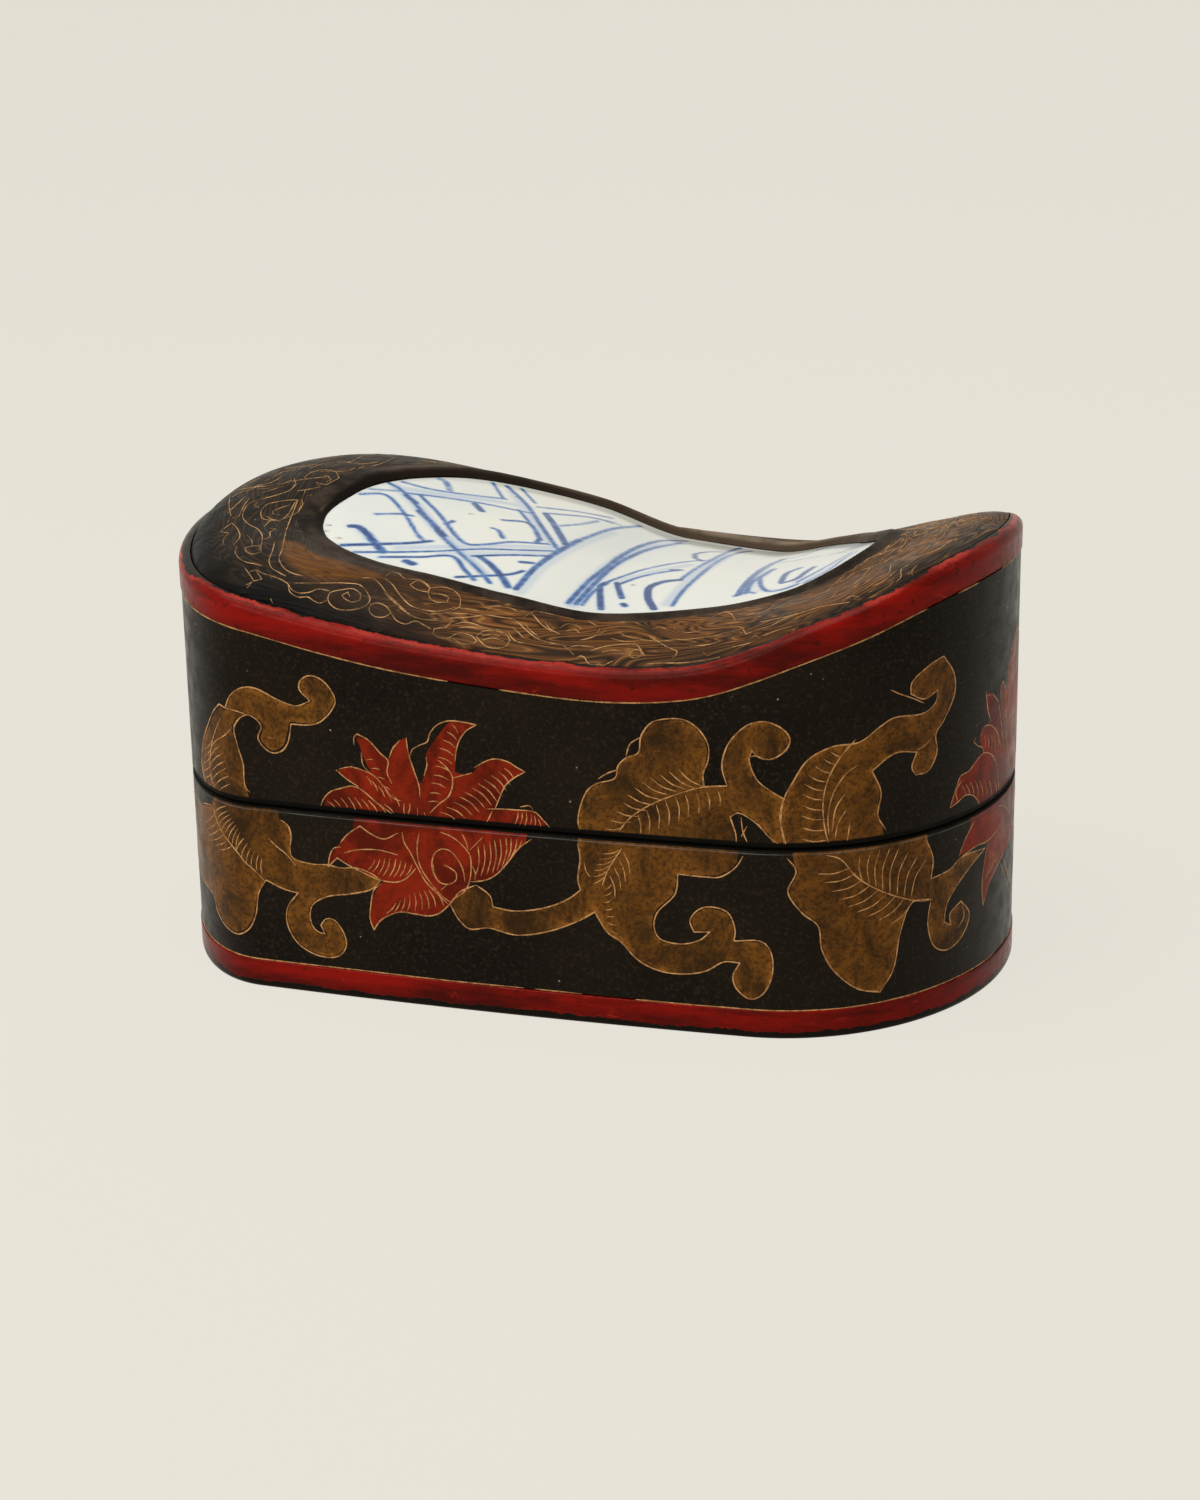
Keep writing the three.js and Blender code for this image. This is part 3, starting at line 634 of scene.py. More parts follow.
# Pale washes between the strokes, in the same way
BLUE_WASHES = [
    (2.6, 0.5, [(396, 486), (412, 500), (436, 528), (462, 552), (484, 574)]),
    (2.2, 0.4, [(398, 548), (440, 547), (500, 546), (552, 548)]),
    (2.4, 0.35, [(440, 554), (470, 553), (550, 553)]),
    (2.6, 0.4, [(400, 488), (440, 494), (500, 502), (530, 508)]),
    (2.4, 0.4, [(512, 492), (530, 514), (552, 546)]),
    (3.2, 0.45, [(572, 604), (594, 580), (616, 562), (640, 550), (680, 543)]),
    (2.6, 0.3, [(520, 592), (544, 566), (580, 544), (612, 532)]),
    (2.6, 0.35, [(620, 581), (650, 573), (690, 565)]),
    (3.0, 0.4, [(668, 604), (684, 586), (706, 568), (730, 554)]),
    (3.0, 0.35, [(742, 594), (752, 584), (766, 570)]),
    (2.6, 0.3, [(760, 590), (780, 590), (800, 582)]),
    (2.4, 0.4, [(800, 582), (826, 570), (850, 555)]),
    (3.0, 0.3, [(830, 549), (856, 546), (870, 543)]),
    (2.0, 0.3, [(360, 530), (376, 546)]),
]

# Pits in the glaze, in the photograph's pixels
GLAZE_PITS = [(325, 531), (338, 538), (328, 525), (346, 569), (632, 585), (516, 497), (470, 514)]


def smooth_step(share):
    """A share from 0 to 1, eased at both ends."""
    share = np.clip(share, 0, 1)
    return share * share * (3 - 2 * share)


def between(first, last, count):
    return np.linspace(first, last, count)


def station_curve(stations):
    """A smooth curve through (place, height) stations, which stays level beyond its ends."""
    places, heights = np.array(stations, float).T
    steps = np.diff(heights) / np.diff(places)
    before, after = steps[:-1], steps[1:]
    same_way = before * after > 0
    total = np.where(same_way, before + after, 1)
    slopes = np.zeros(len(places))
    slopes[1:-1] = np.where(same_way, 2 * before * after / total, 0)

    def height(place):
        place = np.clip(place, places[0], places[-1])
        i = np.clip(np.searchsorted(places, place, side="right") - 1, 0, len(places) - 2)
        span = places[i + 1] - places[i]
        t = (place - places[i]) / span
        smooth = (heights[i + 1] - heights[i]) * smooth_step(t)
        leaving = t * (1 - t) ** 2 * slopes[i] * span
        arriving = t * t * (t - 1) * slopes[i + 1] * span
        return heights[i] + smooth + leaving + arriving

    return height


edge_curve = station_curve(EDGE_STATIONS)
crest_near_curve = station_curve(CREST_NEAR_STATIONS)
crest_far_curve = station_curve(CREST_FAR_STATIONS)


def edge_height(x, y):
    """The height of the lid's outer edge, averaged over a short stretch so that it has no kinks."""
    spread = between(-EDGE_SMOOTHING, EDGE_SMOOTHING, SMOOTHING_STEPS)
    return np.mean([edge_curve(x - EDGE_SKEW * y + step) for step in spread], axis=0)


def crest_height(x, y):
    far_share = np.clip(y / CREST_LINE_SPREAD + 0.5, 0, 1)
    return crest_near_curve(x) * (1 - far_share) + crest_far_curve(x) * far_share


def dense_stations():
    """Places round the plan outline: corner centre, corner run and shares along X and Y, as four rows."""
    corners = [
        (-1, -1, LEFT_END_RUN), (1, -1, RIGHT_END_RUN), (1, 1, RIGHT_END_RUN), (-1, 1, LEFT_END_RUN),
    ]
    parts = []
    steps = np.arange(DENSE_STEPS) / DENSE_STEPS
    for i, (side, front, run) in enumerate(corners):
        starts_at_end = side * front > 0
        angle = np.pi / 2 * (steps if starts_at_end else 1 - steps)
        centre = np.full(DENSE_STEPS, side * (HALF_LENGTH - run))
        corner_run = np.full(DENSE_STEPS, run)
        parts.append(np.stack([centre, corner_run, side * np.cos(angle), front * np.sin(angle)]))
        if starts_at_end:
            next_side, _, next_run = corners[(i + 1) % 4]
            start = side * (HALF_LENGTH - run)
            finish = next_side * (HALF_LENGTH - next_run)
            straight = start + (finish - start) * steps
            level = np.zeros(DENSE_STEPS)
            parts.append(np.stack([straight, corner_run, level, level + front]))
    return np.concatenate(parts, axis=1)


def plan_point(stations, inset):
    """Plan points at stations, a given distance inside the outline."""
    centre_x, run, share_x, share_y = stations
    x = centre_x + share_x * (run - inset)
    from_bow_centre = (x - BOW_CENTRE_X) / (HALF_LENGTH + BOW_CENTRE_X)
    y = share_y * (HALF_DEPTH - inset) + SIDE_BOW * (1 - from_bow_centre ** 2) * share_y
    return np.stack([x, y], axis=-1)


DENSE = dense_stations()
DENSE_OUTLINE = plan_point(DENSE, 0)
STEP_LENGTHS = np.linalg.norm(np.roll(DENSE_OUTLINE, -1, axis=0) - DENSE_OUTLINE, axis=1)
DENSE_ARC = np.concatenate([[0], np.cumsum(STEP_LENGTHS)])
PERIMETER = DENSE_ARC[-1]


def stations_at(arc):
    """The stations at distances round the outline, from the middle of the left end past the front."""
    closed = np.concatenate([DENSE, DENSE[:, :1]], axis=1)
    return np.stack([np.interp(np.mod(arc, PERIMETER), DENSE_ARC, row) for row in closed])


ARCS = np.arange(STATION_COUNT) * PERIMETER / STATION_COUNT
STATIONS = stations_at(ARCS)


def reach_at(angle):
    """The porcelain's reach in a direction, as a smooth closed curve through its values."""
    values = np.array(SHARD_REACH)
    place = (angle / (2 * np.pi) + 1) * len(values)
    first = np.floor(place).astype(int)
    t = place - first
    before, start, finish, after = [values[(first + step) % len(values)] for step in (-1, 0, 1, 2)]
    bend = 2 * before - 5 * start + 4 * finish - after
    twist = 3 * start - before - 3 * finish + after
    return start + 0.5 * t * (finish - before + t * (bend + t * twist))


def shard_point(stations, growth):
    """The porcelain's plan outline in the stations' directions, grown by a given distance."""
    outer = plan_point(stations, 0)
    angle = np.arctan2(outer[:, 1] / HALF_DEPTH, outer[:, 0] / HALF_LENGTH)
    reach = reach_at(angle)
    along = np.cos(angle) * (reach * SHARD_LENGTH / 2 + growth)
    across = np.sin(angle) * (reach * SHARD_WIDTH / 2 + growth)
    return SHARD_CENTRE + np.stack([along, across], axis=-1)


def glaze_height(point, radius):
    crest = crest_height(point[..., 0], point[..., 1])
    return crest - BEZEL_LIP + SHARD_CROWN * (1 - radius ** 2)


def shoulder_ends(stations):
    """Plan points of the lid's outer edge, inside its band, and of the ring's crest."""
    return plan_point(stations, EDGE_BAND_OVERLAP + FIT_GAP), shard_point(stations, BEZEL_CREST_OFFSET)


def shoulder_point(stations, share):
    """A point of the lid's shoulder between its outer edge (share 0) and the ring's crest (share 1)."""
    outer, crest = shoulder_ends(stations)
    share = np.broadcast_to(share, outer.shape[:1])
    plan = outer + (crest - outer) * share[:, None]
    edge = edge_height(outer[:, 0], outer[:, 1])
    rise = crest_height(crest[:, 0], crest[:, 1]) - edge
    full_arch = (1 - (1 - share) ** SHOULDER_FULLNESS) ** (1 / SHOULDER_FULLNESS)
    leftness = smooth_step((-outer[:, 0] - LEFT_END_RUN) / (HALF_LENGTH - LEFT_END_RUN))
    roll = (BOARD_ROLL_RISE + LEFT_DOME_RISE * leftness) * np.sin(np.pi * share ** ROLL_EARLINESS)
    height = edge + rise * np.where(rise > 0, full_arch, smooth_step(share)) + roll
    return np.column_stack([plan, height])


def shoulder_share(stations, distance):
    """The share of the shoulder that ends at a given distance outside the ring's crest."""
    outer, crest = shoulder_ends(stations)
    return 1 - distance / np.linalg.norm(crest - outer, axis=1)


def station_edge(stations):
    outer = plan_point(stations, EDGE_BAND_OVERLAP + FIT_GAP)
    return edge_height(outer[:, 0], outer[:, 1])


# Mesh making


def rows_of(stations, pairs):
    """Points round the box for (inset, height) pairs, as stations by pairs by three."""
    columns = []
    for inset, height in pairs:
        plan = plan_point(stations, inset)
        columns.append(np.column_stack([plan, np.broadcast_to(height, plan.shape[:1])]))
    return np.stack(columns, axis=1)


def loft_faces(station_count, row_count, closed_section):
    around = np.arange(station_count)
    along = np.arange(row_count if closed_section else row_count - 1)
    here = (around * row_count)[:, None]
    following = (np.roll(around, -1) * row_count)[:, None]
    after = (along + 1) % row_count
    return np.stack(
        [here + along, following + along, following + after, here + after], axis=-1
    ).reshape(-1, 4)


def signed_volume(points, face_groups):
    """Six times the volume inside a mesh, negative where its faces point inwards."""
    total = 0.0
    for group in face_groups:
        first = points[group[:, 0]]
        for k in range(1, group.shape[1] - 1):
            total += np.einsum("ij,ij->", first, np.cross(points[group[:, k]], points[group[:, k + 1]]))
    return total


def new_object(name, data):
    item = bpy.data.objects.new(name, data)
    bpy.context.scene.collection.objects.link(item)
    return item


def new_mesh(name, points, faces, material):
    """A smooth mesh from points in millimetres."""
    mesh = bpy.data.meshes.new(name)
    mesh.from_pydata((points * METRE).tolist(), [], faces)
    mesh.polygons.foreach_set("use_smooth", np.ones(len(faces), bool))
    mesh.materials.append(material)
    return mesh


def mesh_piece(name, points, face_groups, material, body, attributes, replaces):
    """A mesh turned to face out, with values at its points, on a body and in place of solid nodes."""
    if signed_volume(points, face_groups) < 0:
        face_groups = [group[:, ::-1] for group in face_groups]
    faces = [tuple(face) for group in face_groups for face in group.tolist()]
    mesh = new_mesh(name, points, faces, material)
    mesh.set_sharp_from_angle(angle=SHARP_ANGLE)
    for key, values in attributes.items():
        is_vector = values.size == 3 * len(points)
        attribute = mesh.attributes.new(key, "FLOAT_VECTOR" if is_vector else "FLOAT", "POINT")
        attribute.data.foreach_set("vector" if is_vector else "value", values.astype(np.float32).ravel())
    piece = new_object(name, mesh)
    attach(piece, body)
    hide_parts(*replaces)


def ring_piece(name, rows, material, body, attributes, replaces):
    """A closed ring whose section follows the stations round the box."""
    faces = loft_faces(*rows.shape[:2], True)
    mesh_piece(name, rows.reshape(-1, 3), [faces], material, body, attributes, replaces)


def slab_piece(name, top, bottom, rows, material, body, attributes, replaces):
    """A closed slab: a line of points at each station, from a top centre round to a bottom centre."""
    stations, count = rows.shape[:2]
    points = np.concatenate([rows.reshape(-1, 3), [top, bottom]])
    here = np.arange(stations) * count
    following = np.roll(here, -1)
    top_index = np.full(stations, stations * count)
    caps = np.concatenate([
        np.column_stack([following, here, top_index]),
        np.column_stack([here + count - 1, following + count - 1, top_index + 1]),
    ])
    faces = loft_faces(stations, count, False)
    padded = {}
    for key, values in attributes.items():
        flat = values.reshape(stations * count, -1)
        padded[key] = np.concatenate([flat, flat[:1], flat[-1:]])
    mesh_piece(name, points, [faces, caps], material, body, padded, replaces)


# Camera and the photograph's rays


def camera_axes():
    azimuth, elevation = CAMERA_AZIMUTH, CAMERA_ELEVATION
    back = np.array([
        math.sin(azimuth) * math.cos(elevation),
        -math.cos(azimuth) * math.cos(elevation),
        math.sin(elevation),
    ])
    level = np.cross([0, 0, 1], back)
    level /= np.linalg.norm(level)
    upright = np.cross(back, level)
    right = math.cos(CAMERA_ROLL) * level + math.sin(CAMERA_ROLL) * upright
    up = -math.sin(CAMERA_ROLL) * level + math.cos(CAMERA_ROLL) * upright
    return right, up, back


RIGHT, UP, BACK = camera_axes()
CAMERA_PLACE = CAMERA_TARGET + BACK * CAMERA_DISTANCE


def pixel_rays(pixels):
    """Directions from the camera through places of the photograph."""
    pixels = np.asarray(pixels, float)
    along = (pixels[:, 0] - FRAME_WIDTH / 2) / FOCAL_PIXELS
    down = (pixels[:, 1] - FRAME_HEIGHT / 2) / FOCAL_PIXELS
    return along[:, None] * RIGHT - down[:, None] * UP - BACK


def make_camera():
    data = bpy.data.cameras.new("photo_camera")
    data.sensor_width = SENSOR
    data.lens = FOCAL_PIXELS * SENSOR / FRAME_HEIGHT
    data.clip_end = CAMERA_CLIP_END
    camera = new_object("photo_camera", data)
    rotation = Matrix(np.column_stack([RIGHT, UP, BACK]).tolist()).to_4x4()
    camera.matrix_world = Matrix.Translation(Vector(CAMERA_PLACE * METRE)) @ rotation
    bpy.context.scene.camera = camera


# Shader helpers


class Shader:
    """The nodes of a material or world, and short ways to add to them."""

    def __init__(self, owner, surface):
        owner.use_nodes = True
        self.owner = owner
        self.nodes = owner.node_tree.nodes
        self.links = owner.node_tree.links
        self.surface = self.nodes[surface]

    @cached_property
    def place(self):
        return self.add("TexCoord", "Object")

    def feed(self, socket, value):
        """Link a socket, or set its own value; three numbers for a colour are a screen colour."""
        if isinstance(value, bpy.types.NodeSocket):
            self.links.new(value, socket)
        elif isinstance(value, tuple) and len(value) == 3 and socket.type == "RGBA":
            socket.default_value = (*linear(*value), 1)
        else:
            socket.default_value = value

    def finished(self, **inputs):
        """The material or world, once its surface's inputs are set."""
        for key, value in inputs.items():
            self.feed(self.surface.inputs[key.replace("_", " ")], value)
        return self.owner

    def add(self, kind, output, inputs=None, **settings):
        """A new node's output, once its settings and inputs are set."""
        node = self.nodes.new("ShaderNode" + kind)
        for key, value in settings.items():
            setattr(node, key, value)
        for key, value in (inputs or {}).items():
            self.feed(node.inputs[key], value)
        return node.outputs[output]

    def attribute(self, name, output="Fac"):
        return self.add("Attribute", output, attribute_name=name)

    def coordinate(self, axis):
        return self.add("SeparateXYZ", axis, {0: self.place})

    def math(self, operation, first, second=0.0, *third):
        return self.add("Math", 0, dict(enumerate((first, second, *third))), operation=operation)

    def plus(self, first, second):
        return self.math("ADD", first, second)

    def times(self, first, second):
        return self.math("MULTIPLY", first, second)

    def scaled(self, value, factor, offset):
        return self.math("MULTIPLY_ADD", value, factor, offset)

    def larger(self, first, second):
        return self.math("MAXIMUM", first, second)

    def spread(self, value, low, high, to_low=0.0, to_high=1.0):
        """Map a value's range to another, with a smooth step."""
        inputs = {"From Min": low, "From Max": high, "To Min": to_low, "To Max": to_high, "Value": value}
        return self.add("MapRange", "Result", inputs, interpolation_type="SMOOTHSTEP")

    def stretched(self, scale):
        return self.add("Mapping", "Vector", {"Vector": self.place, "Scale": scale})

    def noise(self, per_metre, detail, place=None, distortion=0.0, roughness=0.5):
        return self.add("TexNoise", "Fac", {
            "Vector": place or self.place, "Scale": per_metre, "Detail": detail,
            "Distortion": distortion, "Roughness": roughness,
        })

    def cells(self, per_metre):
        return self.add("TexVoronoi", "Distance", {"Vector": self.place, "Scale": per_metre})

    def blend(self, share, first, second):
        return self.add("Mix", 2, {0: share, 6: first, 7: second}, data_type="RGBA")

    def bump(self, height, depth, strength):
        return self.add("Bump", "Normal", {"Strength": strength, "Distance": depth, "Height": height})


def material_shader(name):
    return Shader(bpy.data.materials.new(name), "Principled BSDF")


def linear(red, green, blue):
    """A screen colour from 0 to 255 as linear light."""
    def channel(value):
        share = value / 255
        return share / 12.92 if share <= 0.04045 else ((share + 0.055) / 1.055) ** 2.4
    return channel(red), channel(green), channel(blue)


def aged_black(shader):
    """Black-brown lacquer with cloudy wear, tiny pale specks and fine rubbed scratches."""
    cloud = shader.noise(28, 4)
    ground = shader.blend(shader.spread(cloud, 0.3, 0.72), (11, 8, 6), (25, 19, 13))
    fine = shader.spread(shader.noise(1300, 3, roughness=0.6), 0.5, 0.72, 0, 0.5)
    ground = shader.blend(fine, ground, (56, 45, 34))
    rubbed = shader.noise(26, 5, shader.stretched((1, 1, 14)), roughness=0.7)
    ground = shader.blend(shader.spread(rubbed, 0.62, 0.8, 0, 0.45), ground, (58, 48, 38))
    specks = shader.spread(shader.cells(300), 0.05, 0.075, 1, 0)
    sparse = shader.spread(shader.noise(60, 1), 0.58, 0.64)
    return shader.blend(shader.times(specks, sparse), ground, (150, 128, 104))


def black_painted_lacquer():
    """The wall: aged black with brushed brown-gold leaves, a red lotus, painted shade near black on the
    seam's chamfers and inner faces, and a thin painted highlight under the seam.
    """
    shader = material_shader("black_painted_lacquer")
    ground = aged_black(shader)
    ragged = shader.scaled(shader.noise(900, 3), 0.5, -0.25)
    drift = shader.scaled(shader.noise(45, 1), 1.7, -1.05)
    leaf_depth = shader.attribute("leaf")
    leaf = shader.spread(shader.plus(shader.plus(leaf_depth, ragged), drift), -0.12, 0.18)
    lotus = shader.spread(shader.plus(shader.attribute("lotus"), ragged), -0.02, 0.2)
    brush = shader.noise(110, 6, shader.stretched((1, 1, 0.8)), distortion=0.6, roughness=0.75)
    brown = shader.blend(shader.spread(brush, 0.32, 0.66), (52, 33, 13), (116, 72, 23))
    rims = shader.times(shader.spread(leaf_depth, 0.1, 1.8, 0.7, 0), shader.spread(brush, 0.4, 0.6))
    brown = shader.blend(rims, brown, (146, 92, 34))
    grain = shader.noise(1100, 4, roughness=0.75)
    brown = shader.blend(shader.spread(grain, 0.48, 0.6, 0, 0.6), brown, (38, 25, 12))
    blots = shader.noise(75, 4, roughness=0.6)
    brown = shader.blend(shader.spread(blots, 0.56, 0.72, 0, 0.42), brown, (36, 25, 14))
    red = shader.blend(shader.spread(brush, 0.36, 0.64), (84, 18, 5), (136, 34, 11))
    red = shader.blend(shader.spread(grain, 0.54, 0.68, 0, 0.5), red, (66, 14, 6))
    painted = shader.blend(lotus, shader.blend(leaf, ground, brown), red)
    seam = shader.attribute("seam")
    # Painted shade: near black on the seam's chamfers and the inner faces
    painted = shader.blend(shader.spread(seam, 0.3, 0.6), painted, (6, 5, 4))
    # Painted highlight: a thin pale line along the base's edge under the seam, broken by noise
    worn = shader.times(shader.spread(shader.attribute("worn"), 0.4, 0.9),
                        shader.spread(shader.noise(120, 3), 0.32, 0.6, 0.2, 1))
    painted = shader.blend(worn, painted, (150, 152, 156))
    smudge = shader.spread(shader.noise(240, 4), 0.3, 0.72, 0.26, 0.42)
    scratches = shader.noise(150, 3, shader.stretched((1, 1, 9)))
    return shader.finished(
        Base_Color=painted,
        Roughness=shader.plus(smudge, shader.times(seam, 0.4)),
        Normal=shader.bump(shader.plus(scratches, shader.noise(90, 2)), 0.00012, 0.6),
        Specular_IOR_Level=WALL_GLOSS,
        Specular_Tint=WARM_REFLECTION,
    )


def line_paint(name, wear_per_metre, low, high, worn, bright, roughness, gloss):
    """Gold paint of the fine lines, rubbed thin in places."""
    shader = material_shader(name)
    wear = shader.spread(shader.noise(wear_per_metre, 4, roughness=0.7), low, high)
    return shader.finished(
        Base_Color=shader.blend(wear, worn, bright), Roughness=roughness, Specular_IOR_Level=gloss,
    )


def red_band_lacquer():
    """Vermilion lacquer, rubbed dark in streaks, with painted shade towards its lower edge, chips to black
    along its upper edge, a black lower edge of chips and painted contact shadow, and a painted highlight
    below its rounded top.
    """
    shader = material_shader("red_band_lacquer")
    streaks = shader.noise(70, 6, shader.stretched((0.45, 0.45, 2.4)), roughness=0.7)
    red = shader.blend(shader.spread(streaks, 0.34, 0.66), (72, 6, 4), (138, 14, 8))
    place = shader.attribute("band")
    # Painted shade: darker towards the band's lower edge
    red = shader.blend(shader.spread(place, 0.1, 0.5, 0.35, 0), red, (60, 6, 4))
    scuffs = shader.noise(420, 4, roughness=0.7)
    red = shader.blend(shader.spread(scuffs, 0.6, 0.7, 0, 0.65), red, (34, 9, 7))
    rubbed = shader.noise(110, 5, shader.stretched((1, 1, 3)), roughness=0.8)
    red = shader.blend(shader.spread(rubbed, 0.6, 0.68, 0, 0.5), red, (168, 44, 30))
    ragged = shader.scaled(shader.noise(120, 6, roughness=0.78), 1.3, -0.65)
    torn = shader.scaled(ragged, 0.3, place)
    upper = shader.spread(torn, 0.9, 0.93)
    # Black along the lower edge: chips, and under the foot band a painted contact shadow
    lower = shader.spread(shader.scaled(ragged, 0.45, place), 0.02, 0.05, 1, 0)
    chips_and_contact_shadow = shader.larger(upper, lower)
    # Painted highlight along the band below its rounded top
    band_highlight = shader.times(shader.spread(torn, 0.78, 0.87),
                             shader.spread(shader.noise(70, 3), 0.4, 0.6, 0.1, 0.7))
    red = shader.blend(band_highlight, red, (178, 54, 44))
    return shader.finished(
        Base_Color=shader.blend(chips_and_contact_shadow, red, (15, 12, 10)),
        Roughness=shader.spread(scuffs, 0.3, 0.7, 0.2, 0.36),
        Normal=shader.bump(shader.plus(streaks, chips_and_contact_shadow), 0.0002, 0.5),
        Specular_IOR_Level=BAND_GLOSS,
        Specular_Tint=WARM_REFLECTION,
    )


def rim_lacquer():
    """The lid's top: brown-gold ground with fine contour lines that flow round it, black at its left."""
    shader = material_shader("rim_lacquer")
    flow = shader.attribute("flow", "Vector")
    share = shader.attribute("share")
    field = shader.noise(1.0, 2, flow, distortion=0.35, roughness=0.45)
    steps = shader.math("FRACT", shader.times(field, RIM_CONTOURS))
    valley = shader.math("ABSOLUTE", shader.math("SUBTRACT", steps, 0.5))
    lines = shader.spread(valley, 0.08, 0.3, 1, 0)
    patches = shader.noise(26, 3, distortion=0.5)
    cloud = shader.spread(shader.attribute("cloud"), -1.4, 1.2)
    warm = shader.larger(shader.spread(patches, 0.4, 0.7), cloud)
    ground = shader.blend(warm, (52, 37, 24), (106, 66, 30))
    ground = shader.blend(shader.times(lines, 0.8), ground, (26, 19, 13))
    gilt = shader.times(shader.spread(valley, 0.38, 0.48),
                        shader.spread(shader.noise(110, 3), 0.42, 0.6, 0.1, 0.8))
    ground = shader.blend(gilt, ground, (152, 106, 60))
    wander = shader.scaled(shader.noise(30, 2), 0.05, -0.025)
    left = shader.spread(shader.plus(shader.coordinate("X"), wander), -0.052, -0.012, 1, 0)
    far_left = shader.times(shader.spread(shader.coordinate("Y"), 0.012, 0.03),
                            shader.spread(shader.coordinate("X"), 0.0, 0.04, 1, 0))
    left = shader.larger(left, far_left)
    dim = shader.blend(shader.times(lines, 0.5), (28, 22, 17), (72, 54, 37))
    grained = shader.blend(shader.times(lines, 0.75), (110, 69, 31), (54, 36, 20))
    dim = shader.blend(cloud, dim, grained)
    ground = shader.blend(left, ground, dim)
    wavy = shader.scaled(shader.noise(60, 3), 0.5, -0.25)
    outer = shader.spread(shader.plus(share, wavy), 0.06, 0.32, 1, 0)
    ground = shader.blend(shader.times(outer, shader.scaled(left, 0.75, 0.25)), ground, (13, 11, 9))
    near_ring = shader.spread(share, 0.9, 1.0)
    ground = shader.blend(near_ring, ground, (38, 30, 23))
    chips = shader.times(shader.spread(shader.cells(420), 0.05, 0.09, 1, 0),
                         shader.spread(shader.noise(70, 1), 0.56, 0.62))
    ground = shader.blend(chips, ground, (142, 120, 98))
    return shader.finished(
        Base_Color=ground,
        Roughness=shader.spread(shader.noise(260, 3), 0.3, 0.7, 0.34, 0.5),
        Normal=shader.bump(shader.plus(shader.times(lines, -0.6), patches), 0.00015, 0.7),
        Specular_IOR_Level=RIM_GLOSS,
    )


def bezel_lacquer():
    shader = material_shader("bezel_lacquer")
    cloud = shader.spread(shader.noise(110, 5, roughness=0.65), 0.34, 0.66)
    # Painted light: the far side, where the crest faces the light, is lighter taupe than the near side, here
    # and on the inner lip
    near = shader.blend(cloud, (22, 17, 13), (60, 49, 39))
    far = shader.blend(cloud, (82, 68, 54), (124, 108, 90))
    back = shader.times(shader.spread(shader.coordinate("Y"), 0.005, 0.025),
                        shader.spread(shader.coordinate("X"), -0.03, 0.02, 0.15, 1))
    ground = shader.blend(back, near, far)
    lip = shader.attribute("lip")
    inside = shader.blend(back, (20, 15, 11), (70, 57, 44))
    ground = shader.blend(shader.spread(lip, 0.1, 0.7), ground, inside)
    glint = shader.times(shader.spread(lip, 0.3, 0.45), shader.spread(lip, 0.6, 0.75, 1, 0))
    glint = shader.times(glint, shader.spread(shader.coordinate("Y"), -0.02, 0.0, 1, 0))
    broken = shader.times(glint, shader.spread(shader.noise(60, 4), 0.46, 0.56, 0, 0.7))
    return shader.finished(
        Base_Color=shader.blend(broken, ground, (136, 120, 98)),
        Roughness=0.5,
        Normal=shader.bump(shader.noise(160, 4, roughness=0.7), 0.0005, 0.8),
        Specular_IOR_Level=0.04,
    )


def inner_lacquer():
    shader = material_shader("inner_lacquer")
    grain = shader.noise(120, 4, shader.stretched((0.12, 1, 1)))
    return shader.finished(
        Base_Color=shader.blend(grain, (42, 36, 31), (64, 55, 48)),
        Roughness=shader.spread(grain, 0.3, 0.7, 0.38, 0.55),
        Normal=shader.bump(grain, 0.0002, 0.4),
    )


def putty_material():
    shader = material_shader("putty_material")
    grit = shader.noise(900, 4)
    return shader.finished(
        Base_Color=shader.blend(grit, (66, 54, 44), (104, 88, 72)),
        Roughness=0.75,
        Normal=shader.bump(grit, 0.0004, 0.6),
    )


def porcelain_glaze():
    """Cream-white glaze, cooler in soft patches, with soft cobalt strokes."""
    shader = material_shader("porcelain_glaze")
    cloud = shader.noise(25, 2)
    white = shader.blend(shader.spread(cloud, 0.3, 0.7), (218, 223, 219), (233, 232, 222))
    pale = shader.blend(shader.attribute("wash"), white, (116, 156, 204))
    ink = shader.times(shader.attribute("ink"),
                       shader.spread(shader.noise(420, 4, roughness=0.7), 0.3, 0.62, 0.62, 1.15))
    soft = shader.blend(shader.times(ink, 1.9), pale, (58, 112, 174))
    deep = shader.blend(shader.spread(ink, 0.48, 1.0), soft, (8, 50, 112))
    return shader.finished(
        Base_Color=shader.blend(shader.attribute("pits"), deep, (60, 44, 26)),
        Roughness=0.12,
        Normal=shader.bump(shader.noise(120, 2), 0.0001, 0.4),
        Specular_IOR_Level=0.4,
    )


# Painting: places of the photograph become places on the surfaces


def split_at_corners(points):
    """Pieces of a path between its sharp corners."""
    steps = np.diff(points, axis=0)
    lengths = np.linalg.norm(steps, axis=1)
    cosines = (steps[:-1] * steps[1:]).sum(axis=1) / (lengths[:-1] * lengths[1:])
    corners = [0, *(np.nonzero(cosines < CORNER_COSINE)[0] + 1), len(points) - 1]
    return [points[first:last + 1] for first, last in zip(corners[:-1], corners[1:])]


def knot_mix(t, first, last, before, after):
    """A point between two others, by where a knot value lies between theirs."""
    return (last - t) / (last - first) * before + (t - first) / (last - first) * after


